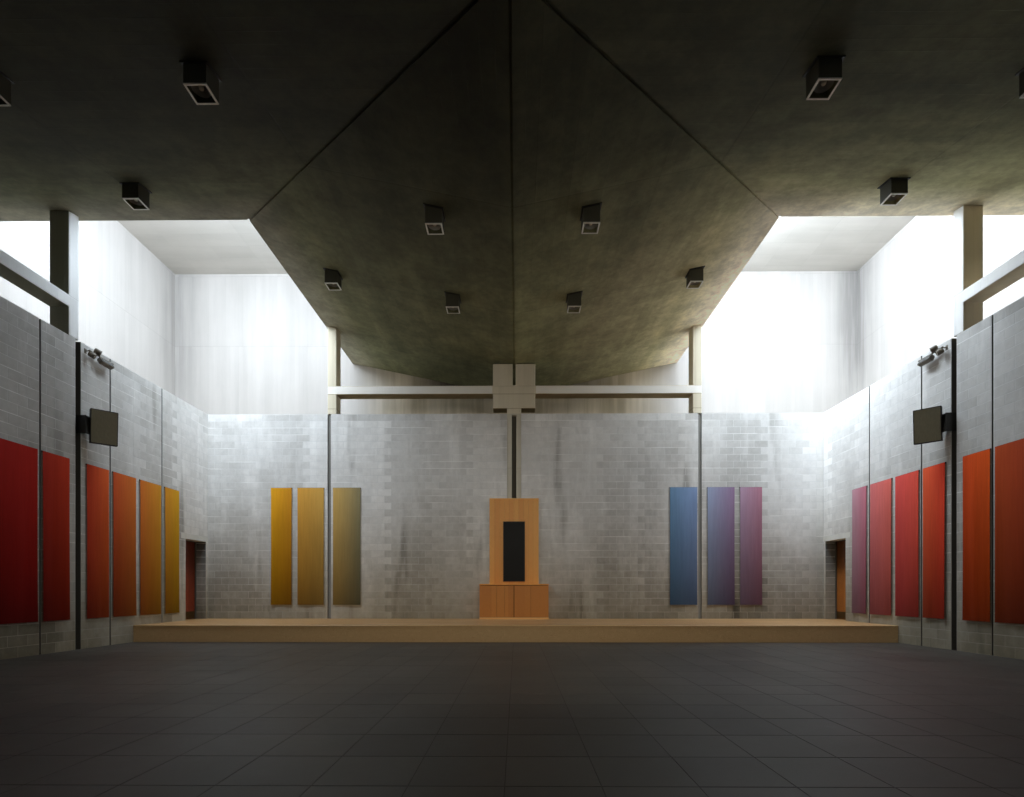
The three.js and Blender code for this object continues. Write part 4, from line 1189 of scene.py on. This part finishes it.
SPEAKER_AT = (8.780, 5.685, 4.942)
SPEAKER_TURN = 0.760
SPEAKER_TILT = 0.14
SPEAKER_HALF = (0.240, 0.3575)
SPEAKER_DEPTH = 0.200
GRILLE_EDGE = 0.014
dark_vinyl = enamel("dark vinyl", tint(52, 46, 42), tint(34, 30, 27), gloss=0.6)
speaker_finishes = [grille_cloth(), dark_vinyl, black_enamel]
for hand, side in (("left", -1), ("right", 1)):
    x, y, z = SPEAKER_AT
    seat = Matrix.Translation((side * x, y, z))
    seat = seat @ Matrix.Rotation(-side * SPEAKER_TURN, 4, "Z") @ Matrix.Rotation(SPEAKER_TILT, 4, "X")
    wide, tall = SPEAKER_HALF
    box = Work()
    box.box((-wide, GRILLE_EDGE, -tall), (wide, SPEAKER_DEPTH, tall), 0.007, 1, seat)
    for a, b in ((-wide, -wide + GRILLE_EDGE), (wide - GRILLE_EDGE, wide)):
        box.box((a, 0, -tall), (b, GRILLE_EDGE + 0.006, tall), 0.004, 1, seat)
    for a, b in ((-tall, -tall + GRILLE_EDGE), (tall - GRILLE_EDGE, tall)):
        box.box((-wide + 0.001, 0, a), (wide - 0.001, GRILLE_EDGE + 0.006, b), 0.004, 1, seat)
    inset = GRILLE_EDGE + 0.001
    cloth_high = (wide - inset, GRILLE_EDGE + 0.004, tall - inset)
    box.box((inset - wide, 0.003, inset - tall), cloth_high, 0.003, 0, seat)
    flipped = Matrix.Diagonal((side, 1, 1, 1))
    plates = (
        ((9.325, 5.404, z - 0.20), (9.343, 5.466, z + 0.20)),
        ((8.975, 5.430, z - 0.19), (9.330, 5.440, z + 0.19)),
        ((8.994, 5.432, z - 0.19), (9.006, 5.645, z + 0.19)),
    )
    for one, other in plates:
        box.box(one, other, 0.002, 2, flipped)
    for up in (-0.15, 0.15):
        bolt = ((0, 0.014), (0.008, 0.014), (0.010, 0.011))
        box.turned(bolt, (8.994, 5.50, z + up), (-1, 0, 0), 2, 6, flipped)
    made = box.piece(f"{hand}_speaker_box", speaker_finishes, "building", "speaker")
    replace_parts(made, f"{hand}_speaker")


# On the top of each side wall a tube on two stays carries lamps for the platform: two small round
# spotlights on stirrups, and a finned floodlight with a glass front, in grey brown paint.
SPOT_TUBE = (9.050, 6.560)
SPOT_REACH = (5.600, 6.300)
SPOTS = ((5.650, -0.075, (-0.75, 0.45, -0.45)), (5.810, 0.065, (-0.55, 0.75, -0.35)))
BARREL_AND_HOOD = ((0, 0.020), (0.010, 0.048), (0.030, 0.056), (0.110, 0.056), (0.118, 0.060),
                   (0.130, 0.060), (0.130, 0.052), (0.112, 0.048))
SPOT_GLASS = ((0, 0.046), (0.003, 0.046), (0.009, 0.03))
FLOOD = (5.880, 6.230)
dark_glass = enamel("floodlight glass", tint(78, 80, 80), tint(58, 60, 60), gloss=0.12)
grey_enamel = enamel("grey brown enamel", tint(126, 116, 100), tint(92, 84, 72), gloss=0.4)
for hand, side in (("left", -1), ("right", 1)):
    flipped = Matrix.Diagonal((side, 1, 1, 1))
    x, z = SPOT_TUBE
    wall = HALL_X - BLOCK_PROUD
    lamps = Work()
    start, end = SPOT_REACH
    tube = ((0, 0.012), (0.002, 0.014), (end - start - 0.002, 0.014), (end - start, 0.012))
    lamps.turned(tube, (x, start, z), (0, 1, 0), 0, 16, flipped)
    for y in (start + 0.02, end - 0.02):
        lamps.box((x - 0.006, y - 0.012, z - 0.006), (wall, y + 0.012, z + 0.006), 0.001, 0, flipped)
        lamps.box((wall - 0.006, y - 0.03, z - 0.05), (wall, y + 0.03, z + 0.05), 0.002, 0, flipped)
    for y, up, aim in SPOTS:
        aim = Vector(aim).normalized()
        middle = Vector((x - 0.03, y, z + up))
        lamps.box((x - 0.036, y - 0.066, z - 0.005), (x, y + 0.066, z + 0.005), 0.001, 0, flipped)
        for ear in (-0.063, 0.063):
            low, high = sorted((z, z + up))
            ear_high = (x - 0.02, y + ear + 0.003, high + 0.012)
            lamps.box((x - 0.036, y + ear - 0.003, low - 0.005), ear_high, 0.001, 0, flipped)
        lamps.turned(BARREL_AND_HOOD, middle - aim * 0.07, aim, 0, 24, flipped)
        lamps.turned(SPOT_GLASS, middle + aim * 0.042, aim, 1, 24, flipped)
    low, high = FLOOD
    seat = flipped @ Matrix.Translation((x - 0.02, 0, z - 0.085)) @ Matrix.Rotation(0.5, 4, "Y")
    lamps.box((-0.045, low, -0.060), (0.045, high, 0.060), 0.008, 0, seat)
    lamps.box((-0.050, low + 0.012, -0.050), (-0.043, high - 0.012, 0.050), 0.002, 2, seat)
    for fin in np.linspace(low + 0.02, high - 0.02, 9):
        lamps.box((0.044, fin - 0.002, -0.050), (0.066, fin + 0.002, 0.050), 0.0008, 0, seat)
    for y in (low - 0.006, high + 0.006):
        lamps.box((x - 0.035, y - 0.004, z - 0.11), (x - 0.008, y + 0.004, z + 0.004), 0.001, 0, flipped)
    lamps.piece(f"{hand}_spotlights", [grey_enamel, glass_bulb, dark_glass], "building", "metal")


# Plain cloth strips hang near the walls, dyed in colours that shade from each strip into the next,
# from red at the left through gold, blue and plum to red at the right. Painted shade darkens each strip
# downwards. A dark batten carries each top.
def strip_cloth():
    material, shader, place = new_finish("dyed cloth")
    # The dye colour holds the strips' painted shade and light as well as their dyes.
    dye_and_shade = place.node("ShaderNodeAttribute", {"attribute_name": "dye_and_shade"})
    x, y, z = place.parts()
    warp = ((x + y) * 900).maths("SINE", (x + y) * 900)
    weft = (z * 700).maths("SINE", z * 700)
    dyed = place.scaled(1, 1, 0.05).cloud(26, 4, 0.6)
    cloudy = place.scaled(1, 1, 0.4).cloud(1.6, 3)
    colour = dye_and_shade.tinted(0.70 + dyed * 0.32 + cloudy * 0.28)
    apply_finish(shader, colour, 0.88 + cloudy * 0.08, warp * 0.4 + weft * 0.4 + dyed * 0.6, 0.0006)
    shader.inputs["Specular IOR Level"].default_value = 0.12
    return material


HANGING_GAP = 0.030
HEM = 0.045
batten_enamel = enamel("batten enamel", tint(52, 44, 36), tint(34, 28, 24), gloss=0.5)
dyed_cloth = strip_cloth()
end_strips = (
    (-7.24, -6.62, tint(242, 173, 19), tint(215, 145, 25)),
    (-6.45, -5.66, tint(230, 168, 66), tint(217, 170, 83)),
    (-5.39, -4.57, tint(224, 182, 100), tint(150, 142, 106)),
    (4.61, 5.42, tint(112, 150, 186), tint(138, 161, 203)),
    (5.72, 6.52, tint(153, 164, 192), tint(146, 116, 147)),
    (6.68, 7.33, tint(172, 143, 166), tint(174, 119, 136)),
)
left_strips = (
    (3.62, 4.44, tint(178, 24, 12), tint(190, 28, 12)),
    (4.55, 5.18, tint(176, 37, 15), tint(199, 54, 15)),
    (5.63, 6.25, tint(209, 65, 33), tint(231, 99, 38)),
    (6.38, 7.12, tint(206, 82, 36), tint(221, 120, 41)),
    (7.26, 8.04, tint(222, 118, 42), tint(227, 157, 37)),
    (8.19, 8.78, tint(226, 150, 36), tint(228, 171, 25)),
)
right_strips = (
    (3.62, 4.44, tint(190, 68, 28), tint(208, 84, 32)),
    (4.55, 5.18, tint(244, 93, 12), tint(236, 80, 12)),
    (5.63, 6.25, tint(248, 71, 41), tint(250, 102, 57)),
    (6.38, 7.12, tint(246, 89, 69), tint(241, 89, 84)),
    (7.26, 8.04, tint(241, 115, 102), tint(232, 124, 124)),
    (8.19, 8.78, tint(206, 120, 137), tint(199, 152, 164)),
)


def hang_strip(name, start, end, bottom, top, dyes, wall, seed):
    """Hangs one strip, drawn with x along the wall and y out of it, and seated by the wall's matrix."""
    random = np.random.default_rng(seed)
    phases = random.uniform(0, 2 * math.pi, 4)
    columns, rows = 20, 48
    vertices, colours = [], []
    for row in range(rows + 1):
        down = row / rows
        z = top + (bottom - top) * down
        for column in range(columns + 1):
            across = column / columns
            slack = 0.0025 + 0.0055 * down
            wave = math.sin(2 * math.pi * 1.2 * across + phases[0] + 0.7 * math.sin(3 * down + phases[1]))
            ripple = 0.35 * math.sin(2 * math.pi * 2.7 * across + phases[2] + 1.6 * down)
            curl = 0.006 * down * (2 * across - 1) ** 4
            draw = 0.004 * math.sin(math.pi * down) * (1 - 2 * across)
            hem = 0.003 if z < bottom + HEM else 0
            out = HANGING_GAP + slack * (wave + ripple) + curl + hem
            vertices.append(wall @ Vector((start + (end - start) * across + draw, out, z)))
            # Painted shade darkens each strip downwards to a quarter, and painted light brightens its top a
            # little.
            depth, painted_top_light = 1 - 0.75 * down, 0.015 * (1 - down) ** 2
            colours.append([depth * ((1 - across) * a + across * b) + painted_top_light for a, b in zip(*dyes)])
    wide = columns + 1
    faces = [(r * wide + c, r * wide + c + 1, (r + 1) * wide + c + 1, (r + 1) * wide + c)
             for r in range(rows) for c in range(columns)]
    strip = new_piece(name, vertices, faces, [dyed_cloth], "building")
    strip.data.shade_smooth()
    attribute = strip.data.attributes.new("dye_and_shade", "FLOAT_COLOR", "POINT")
    attribute.data.foreach_set("color", np.array(colours, np.float32).ravel())
    cloth = strip.modifiers.new("cloth", "SOLIDIFY")
    cloth.thickness = 0.0014
    cloth.offset = 0
    strip.modifiers.new("even shading", "WEIGHTED_NORMAL")
    batten = Work()
    batten_high = (end + 0.006, HANGING_GAP - 0.008, top + 0.006)
    batten.box((start - 0.006, 0.004, top - 0.030), batten_high, 0.002, 0, wall)
    carrier = batten.piece(f"{name}_batten", [batten_enamel], "building", "metal")
    end - start
    top - bottom


def hang_wall(name, strips, bottom, top, wall, seed):
    """Hangs a wall's strips: each is its start, its end, and the dye at either edge."""
    for number, (start, end, *dyes) in enumerate(strips, 1):
        hang_strip(f"{name}_strip_{number}", start, end, bottom, top, dyes, wall, seed + number)


END_HEIGHTS = (FLOOR_TOP + 0.82, FLOOR_TOP + 4.30)
SIDE_HEIGHTS = (FLOOR_TOP + 0.64, FLOOR_TOP + 3.95)
for end, name in ((1, "far"), (-1, "rear")):
    face = Matrix.Translation((0, end * (HALL_Y - BLOCK_PROUD), 0)) @ Matrix.Diagonal((1, -end, 1, 1))
    hang_wall(f"{name}_wall", end_strips, *END_HEIGHTS, face, 70 if end > 0 else 80)
for side, name, strips in ((-1, "left", left_strips), (1, "right", right_strips)):
    for end, half in ((1, "far"), (-1, "rear")):
        rows = ((0, -side, 0, side * (HALL_X - BLOCK_PROUD)), (end, 0, 0, 0), (0, 0, 1, 0), (0, 0, 0, 1))
        hang_wall(f"{name}_wall_{half}", strips, *SIDE_HEIGHTS, Matrix(rows), 90 + 20 * side + 3 * end)


# Daylight comes into the hall only through the glass of the towers and falls down their outer walls.
# Soft panels just inside the glass stand for it, with weaker ones where the photograph's walls are
# brightest: over the platform's right corner and at the side frames. One warm panel fills the hall.
WINDOW_LIGHT = {-1: (268, 740), 1: (738, 538)}
REAR_LIGHT = {-1: 0.12, 1: 0.3}
WINDOW_FALL = -0.36
PANEL_LINE = 5.83
PANEL_LEVEL = 11.29
PANEL_HEIGHT = 1.36
SIDE_PANEL = (8.5, 4.8)
END_PANEL = (7.95, 4.6)
HALL_LIGHT = 86
SKY = (0.77, 0.885, 1.0)
HALL_GLOW = (1.0, 0.91, 0.76)
GLOWS = (
    ("corner glow", (6.2, 9.2, 9.1), (2.9, 0.0, -3.6), 1.6, 2.2, 21, 110),
    ("frame glow", (-6.5, 6.3, 9.1), (-2.6, -1.0, -0.9), 1.0, 0.6, 5.2, 60),
    ("frame glow", (6.5, 6.3, 9.1), (2.6, -2.2, -1.1), 1.0, 0.6, 9, 80),
)


def light_panel(name, place, aim, width, height, power, colour):
    """A soft panel in metres and watts, turned to its aim and hidden from the camera."""
    lamp = bpy.data.lights.new(name, "AREA")
    lamp.shape = "RECTANGLE"
    lamp.size, lamp.size_y = width, height
    lamp.energy = power
    lamp.color = colour
    panel = bpy.data.objects.new(name, lamp)
    panel.location = place
    panel.rotation_mode = "QUATERNION"
    panel.rotation_quaternion = Vector(aim).to_track_quat("-Z", "Y")
    panel.visible_camera = False
    bpy.context.scene.collection.objects.link(panel)
    return lamp


for side in (-1, 1):
    for end, share in ((1, 1), (-1, REAR_LIGHT[side])):
        aside, ahead = (share * power for power in WINDOW_LIGHT[side])
        middle, width = SIDE_PANEL
        place = (side * PANEL_LINE, end * middle, PANEL_LEVEL)
        light_panel("tower daylight", place, (side, 0, WINDOW_FALL), width, PANEL_HEIGHT, aside, SKY)
        middle, width = END_PANEL
        place = (side * middle, end * PANEL_LINE, PANEL_LEVEL)
        light_panel("tower daylight", place, (0, end, WINDOW_FALL), width, PANEL_HEIGHT, ahead, SKY)

fill = light_panel("hall fill", (0, -1.5, 5.2), (0, 1, -0.35), 9.0, 1.2, HALL_LIGHT, HALL_GLOW)
fill.spread = math.radians(120)
for name, place, aim, width, height, power, spread in GLOWS:
    glow = light_panel(name, place, aim, width, height, power, SKY)
    glow.spread = math.radians(spread)


# For views from outside, the building stands on a broad pale studio floor, under a pale even sky and
# one soft high sun. They are no part of the building.
world = bpy.data.worlds.new("pale studio")
world.use_nodes = True
world.node_tree.nodes["Background"].inputs["Color"].default_value = (0.86, 0.89, 0.93, 1)
world.node_tree.nodes["Background"].inputs["Strength"].default_value = 0.75
bpy.context.scene.world = world
sun = bpy.data.lights.new("soft key", "SUN")
sun.energy = 1.6
sun.angle = math.radians(40)
sun.color = (1.0, 0.97, 0.92)
key = bpy.data.objects.new("soft key", sun)
key.rotation_euler = (math.radians(48), 0, math.radians(28))
bpy.context.scene.collection.objects.link(key)
bpy.context.scene.view_settings.view_transform = "Standard"

floor_mesh = bpy.data.meshes.new("studio floor")
floor_mesh.from_pydata([(-400, -400, 0), (400, -400, 0), (400, 400, 0), (-400, 400, 0)], [], [(0, 1, 2, 3)])
studio_floor = bpy.data.objects.new("studio_floor", floor_mesh)
bpy.context.scene.collection.objects.link(studio_floor)
floor_finish, shader, place = new_finish("pale studio floor")
floor_colour = place.cloud(0.2, 2).mix(tint(214, 214, 212), tint(220, 220, 218))
apply_finish(shader, floor_colour, 0.8 + place.cloud(2, 1) * 0.1)
floor_mesh.materials.append(floor_finish)
